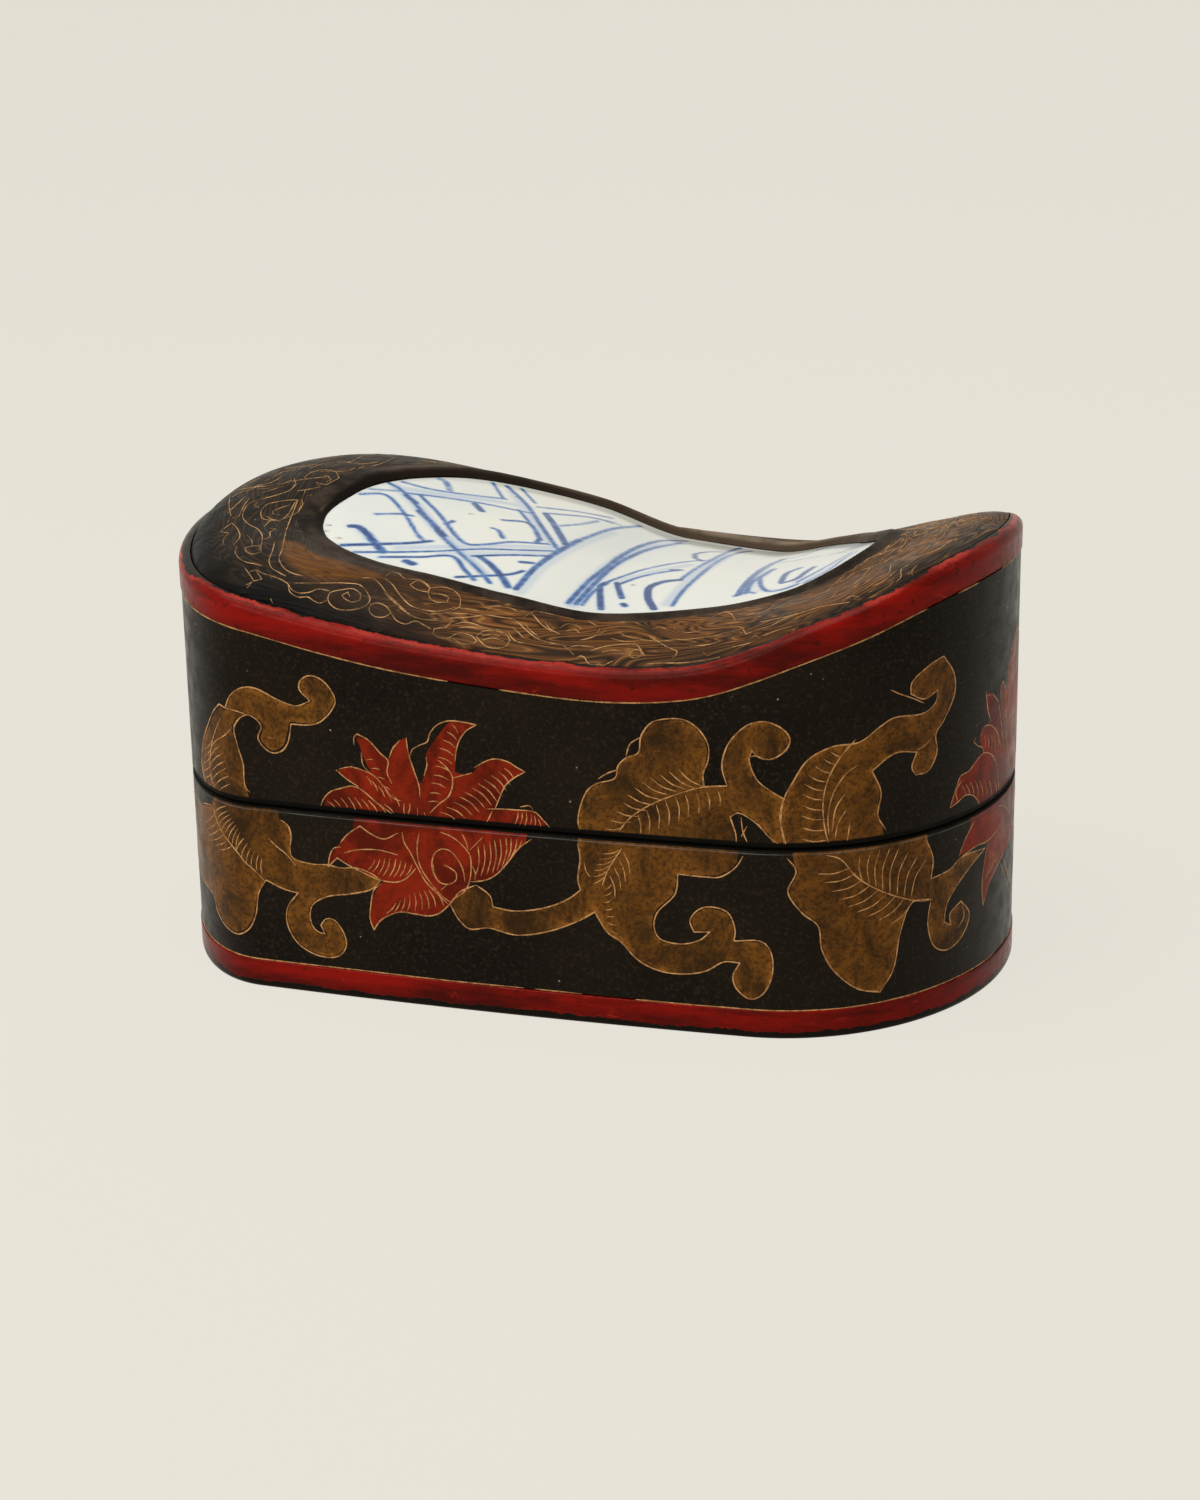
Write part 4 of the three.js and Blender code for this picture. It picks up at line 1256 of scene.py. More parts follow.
def smooth_piece(points, spacing):
    """Even points along a smooth curve through the given ones."""
    if len(points) == 2:
        count = max(2, int(np.linalg.norm(points[1] - points[0]) / spacing))
        return points[0] + (points[1] - points[0]) * between(0, 1, count)[:, None]
    padded = np.concatenate([[2 * points[0] - points[1]], points, [2 * points[-1] - points[-2]]])
    knots = np.concatenate([[0], np.cumsum(np.linalg.norm(np.diff(padded, axis=0), axis=1) ** 0.5)])
    parts = []
    for i in range(1, len(padded) - 2):
        p = padded[i - 1:i + 3]
        k = knots[i - 1:i + 3]
        count = max(2, int(np.linalg.norm(p[2] - p[1]) / spacing))
        t = np.linspace(k[1], k[2], count, endpoint=False)[:, None]
        near = [knot_mix(t, k[j], k[j + 1], p[j], p[j + 1]) for j in range(3)]
        wide = [knot_mix(t, k[j], k[j + 2], near[j], near[j + 1]) for j in range(2)]
        parts.append(knot_mix(t, k[1], k[2], *wide))
    return np.concatenate([*parts, points[-1:]])


def smooth_path(points, spacing=2.0, closed=False):
    points = np.array(points, float)
    if closed:
        points = np.concatenate([points, points[:1]])
    return np.concatenate([smooth_piece(piece, spacing) for piece in split_at_corners(points)])


def surface_tree(rows):
    """A search tree of a lofted surface, for the photograph's rays."""
    stations, count = rows.shape[:2]
    faces = loft_faces(stations, count, False)
    return BVHTree.FromPolygons(rows.reshape(-1, 3).tolist(), faces.tolist())


def cast(tree, starts, rays):
    """Where rays meet a surface, with its normals turned to face them; rays that miss are left out."""
    places, normals = [], []
    for start, ray in zip(starts, rays):
        place, normal, _, _ = tree.ray_cast(Vector(start), Vector(ray))
        if place is not None:
            places.append(place)
            normals.append(normal if normal.dot(Vector(ray)) < 0 else -normal)
    return np.array(places), np.array(normals)


def ray_places(tree, pixels):
    rays = pixel_rays(pixels)
    return cast(tree, [CAMERA_PLACE] * len(rays), rays)


def wall_places(pixels):
    """Distance round the outline and height of places on the wall.

    Beyond the last places that the photograph shows, a shape at the left goes on evenly and a shape at
    the right goes on to the middle of its end.
    """
    pixels = np.asarray(pixels, float)
    left_limit = LEFT_LIMIT + LEFT_LIMIT_SLOPE * (pixels[:, 1] - FRAME_HEIGHT / 2)
    held = np.clip(pixels[:, 0], left_limit, RIGHT_LIMIT)
    hits = []
    for ray in pixel_rays(np.column_stack([held, pixels[:, 1]])):
        place, _, index, _ = WALL_TREE.ray_cast(Vector(CAMERA_PLACE), Vector(ray))
        corner = OUTLINE[index]
        hits.append((ARCS[index] + math.dist(corner, place[:2]), place[2]))
    hits = np.array(hits)
    hits[:, 0] -= LEFT_BEYOND * np.maximum(left_limit - pixels[:, 0], 0)
    share = np.clip((pixels[:, 0] - RIGHT_LIMIT) / RIGHT_RUN, 0, 1)
    hits[:, 0] += (PERIMETER / 2 + PAST_END - hits[:, 0]) * share
    return hits


def near_path(points, starts, ends, reach):
    """The points near a path, in blocks, as their indices and their distances from it."""
    corners = np.concatenate([starts, ends])
    low = corners.min(axis=0) - reach
    high = corners.max(axis=0) + reach
    near = np.nonzero(((points > low) & (points < high)).all(axis=1))[0]
    steps = ends - starts
    lengths = np.maximum((steps ** 2).sum(axis=1), SHORTEST)
    for block in np.array_split(near, len(near) // POINT_BLOCK + 1):
        offsets = points[block][:, None] - starts
        share = np.clip((offsets * steps).sum(axis=2) / lengths, 0, 1)
        yield block, np.linalg.norm(offsets - share[..., None] * steps, axis=2).min(axis=1)


def inside_outline(points, starts, ends):
    """Whether each point lies inside a closed outline."""
    y = points[:, None, 1]
    steps = ends - starts
    crosses = (starts[:, 1] > y) != (ends[:, 1] > y)
    slope = np.where(steps[:, 1] == 0, 1, steps[:, 1])
    at_x = starts[:, 0] + (y - starts[:, 1]) / slope * steps[:, 0]
    return (crosses & (points[:, None, 0] < at_x)).sum(axis=1) % 2 == 1


def signed_distance(points, outline):
    """Distance inside (positive) or outside (negative) a closed outline."""
    ends = np.roll(outline, -1, axis=0)
    result = np.full(len(points), -FILL_REACH)
    for block, gaps in near_path(points, outline, ends, FILL_REACH):
        result[block] = np.where(inside_outline(points[block], outline, ends), gaps, -gaps)
    return np.clip(result, -FILL_REACH, FILL_REACH)


def fill_outline(shape):
    """A painted shape on the wall, carried on into the seam where it touches it."""
    outline = wall_places(smooth_path(shape, FILL_SPACING, closed=True))
    above = outline[:, 1].mean() > SEAM_HEIGHT
    by_seam = np.abs(outline[:, 1] - SEAM_HEIGHT) < SEAM_REACH
    outline[by_seam, 1] = SEAM_HEIGHT + (-1 if above else 1)
    return above, outline


def wall_fill(shapes, arcs, heights, above):
    """How far each wall point lies inside the nearest of the painted shapes, in millimetres."""
    points = np.column_stack([np.minimum(arcs, PERIMETER - arcs), heights])
    result = np.full(len(points), -FILL_REACH)
    for shape_above, outline in shapes:
        if shape_above == above:
            result = np.maximum(result, signed_distance(points, outline))
    return result


def with_fills(rows, above):
    arcs = np.repeat(ARCS, rows.shape[1])
    heights = rows[..., 2].ravel()
    return {
        "leaf": wall_fill(LEAF_OUTLINES, arcs, heights, above),
        "lotus": wall_fill(LOTUS_OUTLINES, arcs, heights, above),
    }


class Ribbons:
    """Thin painted lines, as strips of three points across, raised in their middle."""

    def __init__(self, seed):
        self.points = []
        self.faces = []
        self.count = 0
        self.random = np.random.default_rng(seed)

    def widths(self, count, width):
        """A brush's uneven width, which thins towards both ends."""
        waves = self.random.uniform(*BRUSH_WAVE_RANGE, 3)
        phases = self.random.uniform(0, 2 * np.pi, 3)
        place = np.arange(count)
        swing = sum(np.sin(place * wave * 3 + phase) for wave, phase in zip(waves, phases))
        from_tip = np.minimum(place, count - 1 - place)
        taper = np.minimum(1, BRUSH_TIP_SHARE + from_tip / BRUSH_TAPER_POINTS)
        return width * (1 + swing * BRUSH_UNEVENNESS) * taper

    def half_line(self, across, width):
        """From a line's middle to its edge, in the given directions."""
        across = across / np.maximum(np.linalg.norm(across, axis=1), SHORTEST)[:, None]
        return across * self.widths(len(across), width)[:, None] / 2

    def strip(self, left, middle, right):
        first = self.count + np.arange(len(middle) - 1) * 3
        self.points.append(np.stack([left, middle, right], axis=1).reshape(-1, 3))
        for side in (first, first + 1):
            self.faces.append(np.column_stack([side, side + 1, side + 4, side + 3]))
        self.count += len(middle) * 3

    def on_surface(self, places, normals, width):
        """A line along points of a surface."""
        if len(places) < 3:
            return
        half = self.half_line(np.cross(normals, np.gradient(places, axis=0)), width)
        low = places + normals * LINE_EDGE
        self.strip(low - half, places + normals * LINE_HEIGHT, low + half)

    def on_wall(self, places, width):
        """A line along (distance round, height) places of the wall."""
        if len(places) < 3:
            return
        along = np.gradient(places, axis=0)
        half = self.half_line(np.column_stack([-along[:, 1], along[:, 0]]), width)
        self.strip(
            wall_point(places - half, LINE_EDGE),
            wall_point(places, LINE_HEIGHT),
            wall_point(places + half, LINE_EDGE),
        )

    def piece(self, name, body, material):
        faces = np.concatenate(self.faces).tolist()
        piece = new_object(name, new_mesh(name, np.concatenate(self.points), faces, material))
        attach(piece, body)


def wall_point(places, proud):
    stations = stations_at(places[:, 0])
    return np.column_stack([plan_point(stations, -proud), places[:, 1]])


def runs_of(keep):
    """The stretches of a path where a test holds."""
    edges = np.diff(np.concatenate([[0], keep.astype(int), [0]]))
    return list(zip(np.nonzero(edges == 1)[0], np.nonzero(edges == -1)[0]))


def inside_neighbour(places, outlines):
    hidden = np.zeros(len(places), bool)
    for outline in outlines:
        hidden |= signed_distance(places, outline) > OVERLAP_DEPTH
    return hidden


def wall_line(ribbons, pixels, width, closed=False, hidden_by=()):
    """A gold line of the wall and its mirror image at the back, cut at the seam and under the bands."""
    places = wall_places(smooth_path(pixels, closed=closed))
    steps = np.abs(np.gradient(places, axis=0))
    level = steps[:, 1] < LEVEL_SLOPE * steps[:, 0]
    above = places[:, 1] > SEAM_HEIGHT
    off_seam = np.abs(places[:, 1] - SEAM_HEIGHT) > SEAM_CLEAR
    if closed:
        off_seam &= ~(level & (np.abs(places[:, 1] - SEAM_HEIGHT) < SEAM_REACH))
    shown = (places[:, 0] > 0) & (places[:, 0] < PERIMETER / 2)
    if closed:
        shown &= ~inside_neighbour(places, hidden_by)
    for mirrored in (False, True):
        path = places.copy()
        if mirrored:
            path[:, 0] = PERIMETER - path[:, 0]
        edge = station_edge(stations_at(path[:, 0]))
        clear = path[:, 1] < edge - EDGE_BAND_HEIGHT - BAND_CLEAR
        clear &= path[:, 1] > FOOT_BAND_HEIGHT + BAND_CLEAR
        for body, side in (("lid", above), ("base", ~above)):
            for first, last in runs_of(side & off_seam & shown & clear):
                ribbons[body].on_wall(path[first:last], width)


def hatch_strokes(count, start_guide, end_guide):
    """Short strokes spread evenly between two guide lines."""
    starts = smooth_path(start_guide, HATCH_SPACING)
    ends = smooth_path(end_guide, HATCH_SPACING)
    for share in between(0, 1, count):
        start = starts[int(share * (len(starts) - 1))]
        end = ends[int(share * (len(ends) - 1))]
        middle = (start + end) / 2 + np.array([end[1] - start[1], start[0] - end[0]]) * HATCH_BEND
        yield [start, middle, end]


def band_lines(ribbons):
    """Thin gold lines along the red bands, broken here and there where they are rubbed off."""
    arcs = np.arange(0, PERIMETER, BAND_LINE_STEP)
    under_edge_band = station_edge(stations_at(arcs)) - EDGE_BAND_HEIGHT - BAND_LINE_GAP
    over_foot_band = np.full(len(arcs), FOOT_BAND_HEIGHT + BAND_LINE_GAP)
    random = np.random.default_rng(SEEDS["bands"])
    for body, heights in (("lid", under_edge_band), ("base", over_foot_band)):
        wander, rub = [
            sum(np.sin(arcs / span + random.uniform(0, 6)) for span in waves)
            for waves in (BAND_LINE_WAVES, BAND_RUB_WAVES)
        ]
        path = np.column_stack([arcs, heights + wander * BAND_LINE_WANDER])
        for first, last in runs_of(rub > BAND_RUB_LIMIT):
            ribbons[body].on_wall(path[first:last], HATCH_WIDTH)


def wall_lines():
    ribbons = {body: Ribbons(SEEDS[body]) for body in ("lid", "base")}
    for i, shape in enumerate(LEAF_SHAPES):
        others = [outline for k, (_, outline) in enumerate(LEAF_OUTLINES) if k != i]
        wall_line(ribbons, shape, GOLD_LINE_WIDTH, closed=True, hidden_by=others)
    band_lines(ribbons)
    for line in GOLD_LINES:
        wall_line(ribbons, line, GOLD_LINE_WIDTH * SCROLL_LINE_SHARE)
    for count, start_guide, end_guide in HATCHES:
        for stroke in hatch_strokes(count, start_guide, end_guide):
            wall_line(ribbons, stroke, HATCH_WIDTH)
    ribbons["lid"].piece("gold_lines_upper", "lid", gold_paint)
    ribbons["base"].piece("gold_lines_lower", "base", gold_paint)


def rim_lines(board_rows):
    """Gold lines of the rim, and the same lines turned half round onto its far side."""
    tree = surface_tree(board_rows)
    ribbons = Ribbons(SEEDS["rim"])
    for line in RIM_LINES:
        places, normals = ray_places(tree, smooth_path(line))
        if len(places) > 2:
            above = places * [-1, -1, 0] + [0, 0, BOX_LENGTH]
            ribbons.on_surface(places, normals, RIM_LINE_WIDTH)
            ribbons.on_surface(*cast(tree, above, [(0, 0, -1)] * len(above)), RIM_LINE_WIDTH)
    ribbons.piece("gold_lines_rim", "lid", rim_paint)


def stroke_cover(points, path, width, softness):
    """How fully a brush stroke covers each point, from 0 to 1."""
    reach = width / 2 + softness
    cover = np.zeros(len(points))
    for block, gaps in near_path(points, path[:-1], path[1:], reach):
        cover[block] = smooth_step((reach - gaps) / (2 * softness))
    return cover


def painting_marks():
    """Every mark on the porcelain, as its layer, width, strength, softness and path."""
    for width, strength, line in BLUE_STROKES:
        yield "ink", width * STROKE_SPREAD, strength, STROKE_SOFTNESS, line
        yield "wash", width * STROKE_SPREAD, STROKE_BLEED * strength, WASH_SOFTNESS, line
    for width, strength, line in BLUE_WASHES:
        yield "wash", width, strength, WASH_SOFTNESS, line
    for x, y in GLAZE_PITS:
        yield "pits", PIT_WIDTH, 1, STROKE_SOFTNESS, [(x, y), (x + PIT_LENGTH, y)]


def porcelain_painting(rows, tree):
    points = rows.reshape(-1, 3)
    layers = {layer: np.zeros(len(points)) for layer in ("ink", "wash", "pits")}
    for layer, width, strength, softness, line in painting_marks():
        path, _ = ray_places(tree, smooth_path(line, STROKE_SPACING))
        if len(path) > 1:
            cover = strength * stroke_cover(points, path, width, softness)
            layers[layer] = np.maximum(layers[layer], cover)
    return {layer: cover.reshape(rows.shape[:2]) for layer, cover in layers.items()}


OUTLINE = plan_point(STATIONS, 0)
WALL_TREE = surface_tree(rows_of(STATIONS, [(0, -BOX_DEPTH), (0, 2 * BOX_DEPTH)]))
LEAF_OUTLINES = [fill_outline(shape) for shape in LEAF_SHAPES]
LOTUS_OUTLINES = [fill_outline(shape) for shape in LOTUS_FILLS + END_FILLS]


# The pieces


def quarter(upright, level, count):
    """(inset, height) pairs of a rounded edge, from its upright end to its level end."""
    return [
        (upright[0] + (level[0] - upright[0]) * (1 - math.cos(turn)),
         upright[1] + (level[1] - upright[1]) * math.sin(turn))
        for turn in between(0, np.pi / 2, count)
    ]


def all_round(marks):
    """The same values of a section's points at every station."""
    return np.tile(marks, (STATION_COUNT, 1))


def base_wall():
    band_top = FOOT_BAND_HEIGHT + FIT_GAP
    top = SEAM_HEIGHT
    chamfer_edge = top - SEAM_EDGE_RISE
    pairs = [(BAND_REBATE, FLOOR_THICKNESS), (WALL_THICKNESS, FLOOR_THICKNESS), (WALL_THICKNESS, top)]
    pairs += quarter((0, chamfer_edge), (SEAM_EDGE_RUN, top), SEAM_EDGE_STEPS)[::-1]
    pairs += [(0, height) for height in between(chamfer_edge, band_top, LOWER_WALL_ROWS)[1:]]
    pairs.append((BAND_REBATE, band_top))
    rows = rows_of(STATIONS, pairs)
    marks = with_fills(rows, False)
    # Painted shade near black on the seam's chamfer, the wall's top and its inner faces
    marks["seam"] = all_round([float(inset > SEAM_SHADE_INSET) for inset, _ in pairs])
    # A thin painted highlight just below the chamfer, where the base's upper edge catches light
    marks["worn"] = np.clip(1 - np.abs(rows[..., 2] - chamfer_edge + SEAM_HIGHLIGHT_DROP) / SEAM_HIGHLIGHT_REACH, 0, 1)
    ring_piece(
        "painted_wall_lower", rows, black_painted, "base", marks, replaces=["base_wall"]
    )


def base_collar():
    outer = WALL_THICKNESS + FIT_GAP
    inner = outer + COLLAR_THICKNESS
    low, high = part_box("base_collar")
    bottom, top = low[2] / METRE, high[2] / METRE
    pairs = [
        (outer, bottom), (inner, bottom), (inner, top - COLLAR_LEAD_IN), (inner - COLLAR_LEAD_IN / 2, top),
        (outer + COLLAR_LEAD_IN, top), (outer, top - 2 * COLLAR_LEAD_IN),
    ]
    rows = rows_of(STATIONS, pairs)
    ring_piece("collar_ring", rows, inner_black, "base", {}, replaces=["base_collar"])


def foot_band():
    inner = BAND_REBATE - FIT_GAP
    top = FOOT_BAND_HEIGHT
    under = (FOOT_BAND_ROUND * FOOT_BAND_UNDERSIDE, 0)
    pairs = [(inner, 0), (inner, top), (0, top)]
    pairs += quarter((-BAND_PROUD, top - BAND_PROUD), (0, top), BAND_TOP_STEPS)[::-1]
    pairs += [(-BAND_PROUD, height) for height in between(top - BAND_PROUD, FOOT_BAND_ROUND, BAND_ROWS)[1:]]
    pairs += quarter((-BAND_PROUD, FOOT_BAND_ROUND), under, BAND_FOOT_STEPS)[1:]
    # Place up the band: the underside falls below zero for the black painted contact shadow, and the lower
    # part gets painted shade
    tones = [height / top * FOOT_BAND_BRIGHTENING - FOOT_BAND_DARKEST for _, height in pairs]
    band = {"band": all_round(np.minimum(FOOT_BAND_BRIGHTEST, tones))}
    rows = rows_of(STATIONS, pairs)
    ring_piece("red_foot_band", rows, red_band, "base", band, replaces=["base_foot_band"])


def lid_wall():
    bottom = SEAM_HEIGHT + SEAM_GAP
    chamfer_edge = bottom + SEAM_EDGE_RISE
    edge = station_edge(STATIONS)
    band_bottom = edge - EDGE_BAND_HEIGHT - FIT_GAP
    seat = edge - BOARD_SEAT_DROP
    pairs = [(0, chamfer_edge + (band_bottom - chamfer_edge) * share) for share in between(0, 1, UPPER_WALL_ROWS)]
    pairs += [(BAND_REBATE, band_bottom), (BAND_REBATE, seat), (WALL_THICKNESS, seat)]
    pairs.append((WALL_THICKNESS, bottom))
    pairs += quarter((0, chamfer_edge), (SEAM_EDGE_RUN, bottom), SEAM_EDGE_STEPS)[:0:-1]
    rows = rows_of(STATIONS, pairs)
    marks = with_fills(rows, True)
    # Painted shade near black on the lid's lower chamfer, fading up the wall just above it
    marks["seam"] = np.clip(1 - (rows[..., 2] - chamfer_edge) / SEAM_SHADE_RUN, 0, 1)
    # The lid has no painted highlight at the seam
    marks["worn"] = np.zeros(rows.shape[:2])
    ring_piece(
        "painted_wall_upper", rows, black_painted, "lid", marks, replaces=["lid_wall"]
    )


def edge_band():
    inner = BAND_REBATE - FIT_GAP
    top = station_edge(STATIONS)
    low = top - EDGE_BAND_HEIGHT
    upright = EDGE_BAND_HEIGHT - BAND_PROUD - EDGE_BAND_ROUND
    pairs = [(inner, low), (0, low)]
    pairs += [(-BAND_PROUD, low + BAND_PROUD + share * upright) for share in between(0, 1, BAND_ROWS)]
    pairs += quarter((-BAND_PROUD, top - EDGE_BAND_ROUND), (EDGE_BAND_OVERLAP, top), BAND_ROWS)[1:]
    pairs += [(EDGE_BAND_OVERLAP, top - EDGE_BAND_LIP), (inner, top - EDGE_BAND_LIP)]
    rows = rows_of(STATIONS, pairs)
    rise = (rows[..., 2] - low[:, None]) / EDGE_BAND_HEIGHT
    inward = np.array([max(0, inset) / EDGE_BAND_OVERLAP for inset, _ in pairs])
    from_end = np.minimum(ARCS, PERIMETER - ARCS)
    covered = BLACK_ROLL_COVER * np.clip((BLACK_ROLL_ARC - from_end) / BLACK_ROLL_FADE, 0, 1)
    # Place up the band: painted shade low, and the rounded top pushed up into the painted highlight
    tones = EDGE_BAND_DARKEST + rise * EDGE_BAND_BRIGHTENING + inward * EDGE_BAND_TOP_HIGHLIGHT
    band = {"band": tones + covered[:, None]}
    ring_piece("red_edge_band", rows, red_band, "lid", band, replaces=["lid_edge_band"])


def below_glaze(plan, radius, drop):
    """Points above the given plan points, a given distance below the glaze."""
    return np.column_stack([plan, glaze_height(plan, radius) - drop])


def sheet(edge, radii, drop):
    """Rings of points that follow the glaze at a given distance below it, as shares of an edge."""
    return [below_glaze(SHARD_CENTRE + (edge - SHARD_CENTRE) * radius, radius, drop) for radius in radii]


def centre_point(drop):
    return np.append(SHARD_CENTRE, glaze_height(SHARD_CENTRE, 0) - drop)


def rim_marks(rows):
    """Where a rim point lies between edge and ring, along the flow round the rim, and in its clouds."""
    outer, crest = [ends[:, None] for ends in shoulder_ends(STATIONS)]
    across = crest - outer
    share = ((rows[..., :2] - outer) * across).sum(axis=2) / (across ** 2).sum(axis=2)
    turn = 2 * np.pi * ARCS[:, None] / PERIMETER
    radius = PERIMETER / (2 * np.pi) / FLOW_STRETCH
    ridge = share * np.linalg.norm(across, axis=2) / FLOW_WIDTH
    flow = np.stack(np.broadcast_arrays(np.cos(turn) * radius, np.sin(turn) * radius, ridge), axis=-1)
    points = rows.reshape(-1, 3)
    cloud = np.full(len(points), -FILL_REACH)
    tree = surface_tree(rows)
    for shape in RIM_CLOUDS:
        outline, _ = ray_places(tree, smooth_path(shape, FILL_SPACING, closed=True))
        cloud = np.maximum(cloud, signed_distance(points[:, :2], outline[:, :2]))
    return {"share": share, "flow": flow, "cloud": cloud.reshape(rows.shape[:2])}


def top_board():
    pocket_edge = shard_point(STATIONS, FIT_GAP)
    crest = shoulder_point(STATIONS, 1)
    seat_share = shoulder_share(STATIONS, BEZEL_OUTER_RUN)
    columns = sheet(shard_point(STATIONS, 0), POCKET_RADII, POCKET_DEPTH)
    columns.append(below_glaze(pocket_edge, 1, POCKET_DEPTH))
    columns.append(np.column_stack([pocket_edge, crest[:, 2] - BEZEL_LIP - BEZEL_SEAT_DEPTH]))
    columns.append(shoulder_point(STATIONS, seat_share) - [0, 0, BEZEL_SEAT_DEPTH])
    shoulder = [shoulder_point(STATIONS, seat_share * share) for share in between(1, 0, SHOULDER_ROWS)]
    rim_lines(np.stack(shoulder, axis=1))
    edge = station_edge(STATIONS)
    under_lip = edge - EDGE_BAND_LIP - FIT_GAP
    board_seat = edge - BOARD_SEAT_DROP + FIT_GAP
    under = rows_of(STATIONS, [
        (EDGE_BAND_OVERLAP + FIT_GAP, under_lip), (BAND_REBATE, under_lip), (BAND_REBATE, board_seat),
        (WALL_THICKNESS + FIT_GAP, board_seat),
    ])
    depth = POCKET_DEPTH + BOARD_UNDER_POCKET
    columns += [*shoulder, *np.moveaxis(under, 1, 0), *sheet(pocket_edge, POCKET_RADII[::-1], depth)]
    rows = np.stack(columns, axis=1)
    slab_piece(
        "scrolled_lid_top", centre_point(POCKET_DEPTH), centre_point(depth), rows,
        rim_black, "lid", rim_marks(rows), replaces=["lid_top_board"],
    )


def ragged_lap():
    """How far the putty's uneven edge laps over the porcelain, at each station."""
    random = np.random.default_rng(SEEDS["lap"])
    turn = 2 * np.pi * ARCS / PERIMETER
    waves = sum(np.sin(turn * count + random.uniform(0, 6)) / count ** 0.4 for count in LAP_WAVES)
    return LAP_REACH * np.clip(LAP_MIDDLE + waves * LAP_UNEVENNESS, LAP_LEAST, LAP_MOST)


def bezel():
    outer_share = shoulder_share(STATIONS, BEZEL_OUTER_RUN + BEZEL_BLEND)
    crest = shoulder_point(STATIONS, 1)
    top = crest[:, 2] + BEZEL_SOFT_RISE
    columns = []
    for share in between(0, 1, RING_ROWS):
        rise = BEZEL_SOFT_RISE * math.sin(np.pi / 2 * share) ** 2
        columns.append(shoulder_point(STATIONS, outer_share + (1 - outer_share) * share) + [0, 0, rise])
    tip_plan = shard_point(STATIONS, -ragged_lap())
    tip = glaze_height(tip_plan, 1) + LAP_THICKNESS
    lap_shares = between(0, 1, LAP_ROWS)[1:]
    for share in lap_shares:
        plan = crest[:, :2] + (tip_plan - crest[:, :2]) * share
        columns.append(np.column_stack([plan, top - (top - tip) * share ** 2]))
    seat = crest[:, 2] - BEZEL_LIP - BEZEL_SEAT_DEPTH + FIT_GAP
    columns.append(np.column_stack([shard_point(STATIONS, FIT_GAP), seat]))
    columns.append(shoulder_point(STATIONS, outer_share) + [0, 0, FIT_GAP - BEZEL_SEAT_DEPTH])
    lip = {"lip": all_round([0] * RING_ROWS + list(lap_shares) + [1, 0])}
    rows = np.stack(columns, axis=1)
    ring_piece("putty_ring", rows, bezel_black, "lid", lip, replaces=["shard_bezel"])


def glaze_columns():
    """The glaze, from its centre to its rounded edge."""
    edge = shard_point(STATIONS, 0)
    inside = shard_point(STATIONS, -SHARD_EDGE_ROUND)
    columns = sheet(inside, between(1 / GLAZE_ROWS, 1, GLAZE_ROWS), 0)
    for turn in between(0, np.pi / 2, GLAZE_EDGE_STEPS)[1:]:
        plan = inside + (edge - inside) * math.sin(turn)
        columns.append(below_glaze(plan, 1, SHARD_EDGE_ROUND * (1 - math.cos(turn))))
    return columns


def porcelain():
    columns = glaze_columns()
    tree = surface_tree(np.stack(columns, axis=1))
    columns += sheet(shard_point(STATIONS, 0), POCKET_RADII[::-1], SHARD_THICKNESS)
    rows = np.stack(columns, axis=1)
    slab_piece(
        "painted_porcelain", centre_point(0), centre_point(SHARD_THICKNESS), rows, glaze, "lid",
        porcelain_painting(rows, tree), replaces=["porcelain_shard"],
    )


# Stage and light


def seen_directly(shader):
    """One for the rays that show the backdrop itself: seen, mirrored or passed through."""
    path = shader.nodes.new("ShaderNodeLightPath").outputs
    seen_or_mirrored = shader.larger(path["Is Camera Ray"], path["Is Glossy Ray"])
    return shader.larger(seen_or_mirrored, path["Is Transmission Ray"])


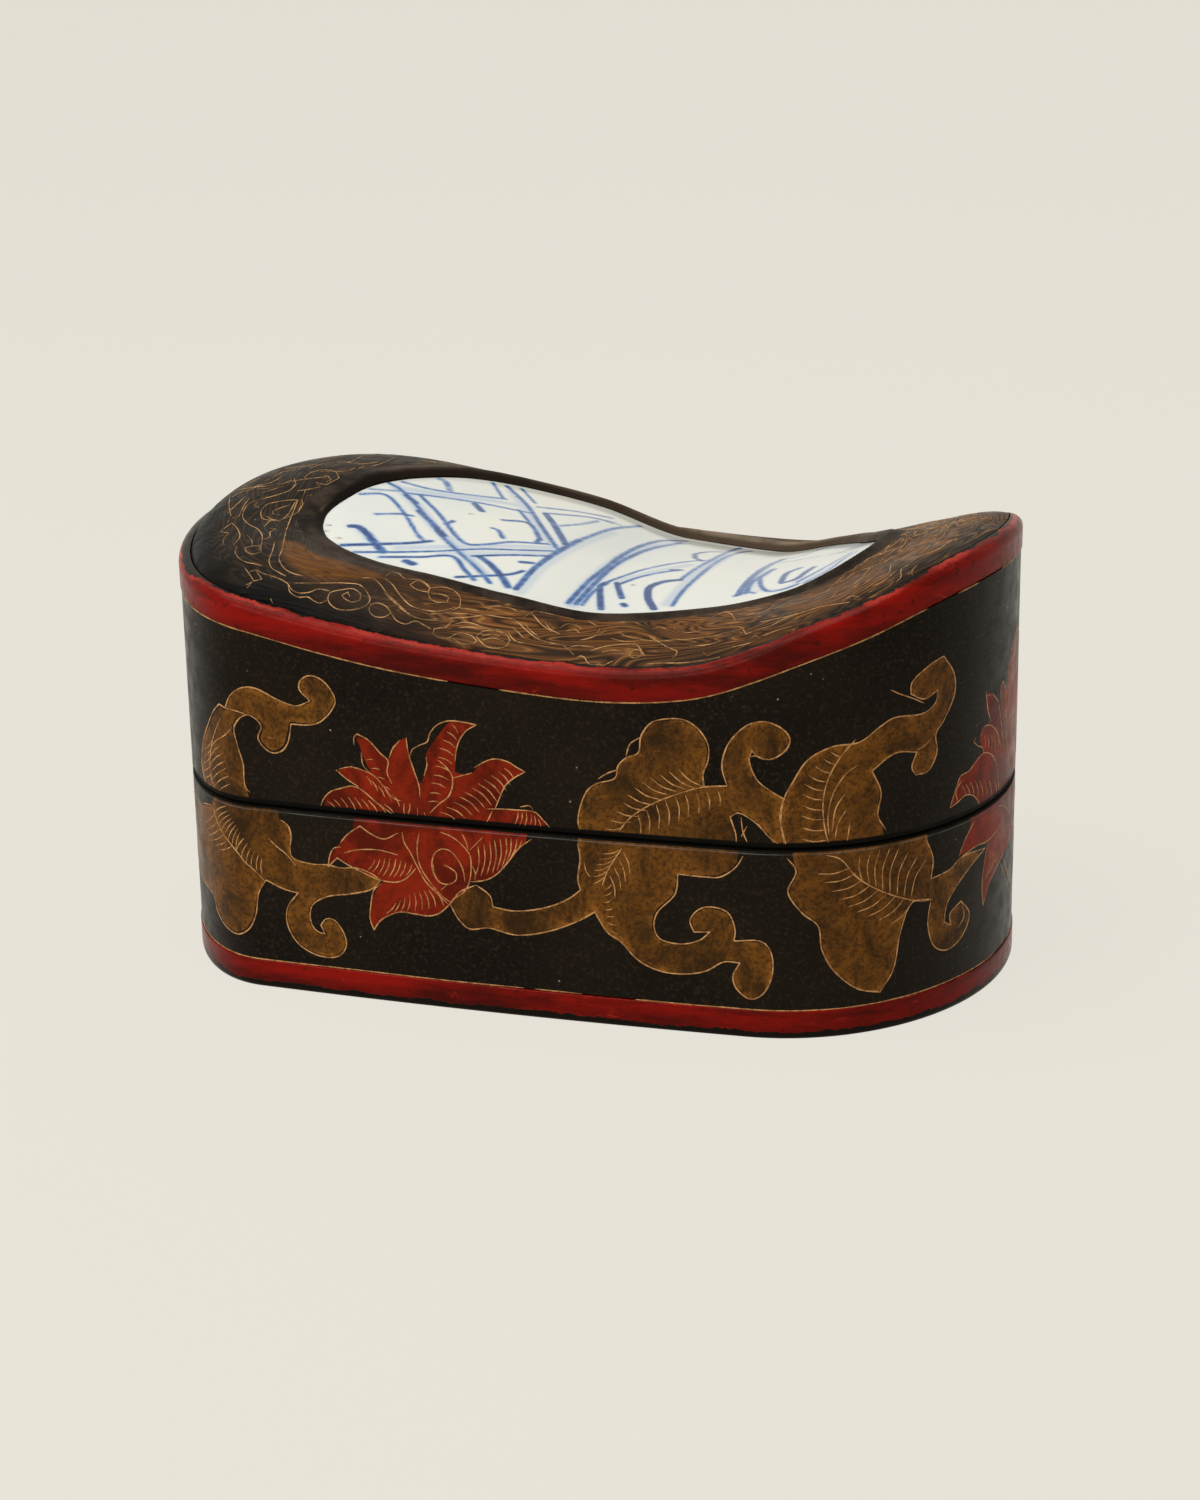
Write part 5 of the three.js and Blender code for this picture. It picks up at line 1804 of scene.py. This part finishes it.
def make_stage():
    shader = material_shader("pale_floor")
    material = shader.finished(Base_Color=PAPER, Roughness=0.9, Specular_IOR_Level=0.1)
    flat = shader.add("Emission", 0, {"Color": PAPER})
    glow = shader.times(seen_directly(shader), FLOOR_GLOW)
    mixed = shader.add("MixShader", 0, {0: glow, 1: shader.surface.outputs[0], 2: flat})
    shader.feed(shader.nodes["Material Output"].inputs["Surface"], mixed)
    corners = np.array([(-1, -1, 0), (1, -1, 0), (1, 1, 0), (-1, 1, 0)]) * FLOOR_REACH
    floor = new_object("floor", new_mesh("floor", corners, [(0, 1, 2, 3)], material))


def make_world():
    world = bpy.data.worlds.new("studio")
    bpy.context.scene.world = world
    shader = Shader(world, "Background")
    inputs = {"Value": seen_directly(shader), "To Min": WORLD_LIGHT, "To Max": 1.0}
    shader.finished(Color=PAPER, Strength=shader.add("MapRange", "Result", inputs))


def area_light(name, place, size, power):
    data = bpy.data.lights.new(name, "AREA")
    data.shape = "RECTANGLE"
    data.size = size
    data.size_y = size
    data.energy = power
    lamp = new_object(name, data)
    lamp.location = place
    direction = Vector(LIGHT_TARGET) - Vector(place)
    lamp.rotation_euler = direction.to_track_quat("-Z", "Y").to_euler()


def make_lights():
    area_light("top_softbox", (-0.25, -0.25, 1.1), 0.9, 9)
    area_light("front_softbox", (-0.7, -1.3, 0.7), 0.7, 6)


make_camera()
black_painted = black_painted_lacquer()
gold_paint = line_paint("gold_line_paint", 600, 0.35, 0.62, (134, 87, 45), (204, 152, 96), 0.42, LINE_GLOSS)
rim_paint = line_paint("rim_line_paint", 320, 0.36, 0.64, (104, 78, 50), (200, 154, 102), 0.5, RIM_GLOSS)
red_band = red_band_lacquer()
rim_black = rim_lacquer()
bezel_black = bezel_lacquer()
inner_black = inner_lacquer()
putty = putty_material()
glaze = porcelain_glaze()

wall_lines()
base_wall()
base_collar()
foot_band()
lid_wall()
edge_band()
top_board()
bezel()
porcelain()


def dress(node, material):
    """Give a carried-over CAD node its procedural material."""
    piece = bpy.data.objects[node]
    piece.data.materials.clear()
    piece.data.materials.append(material)


dress("base_floor", inner_black)
dress("shard_putty_bed", putty)
make_stage()
make_world()
make_lights()
bpy.context.scene.view_settings.view_transform = "Standard"
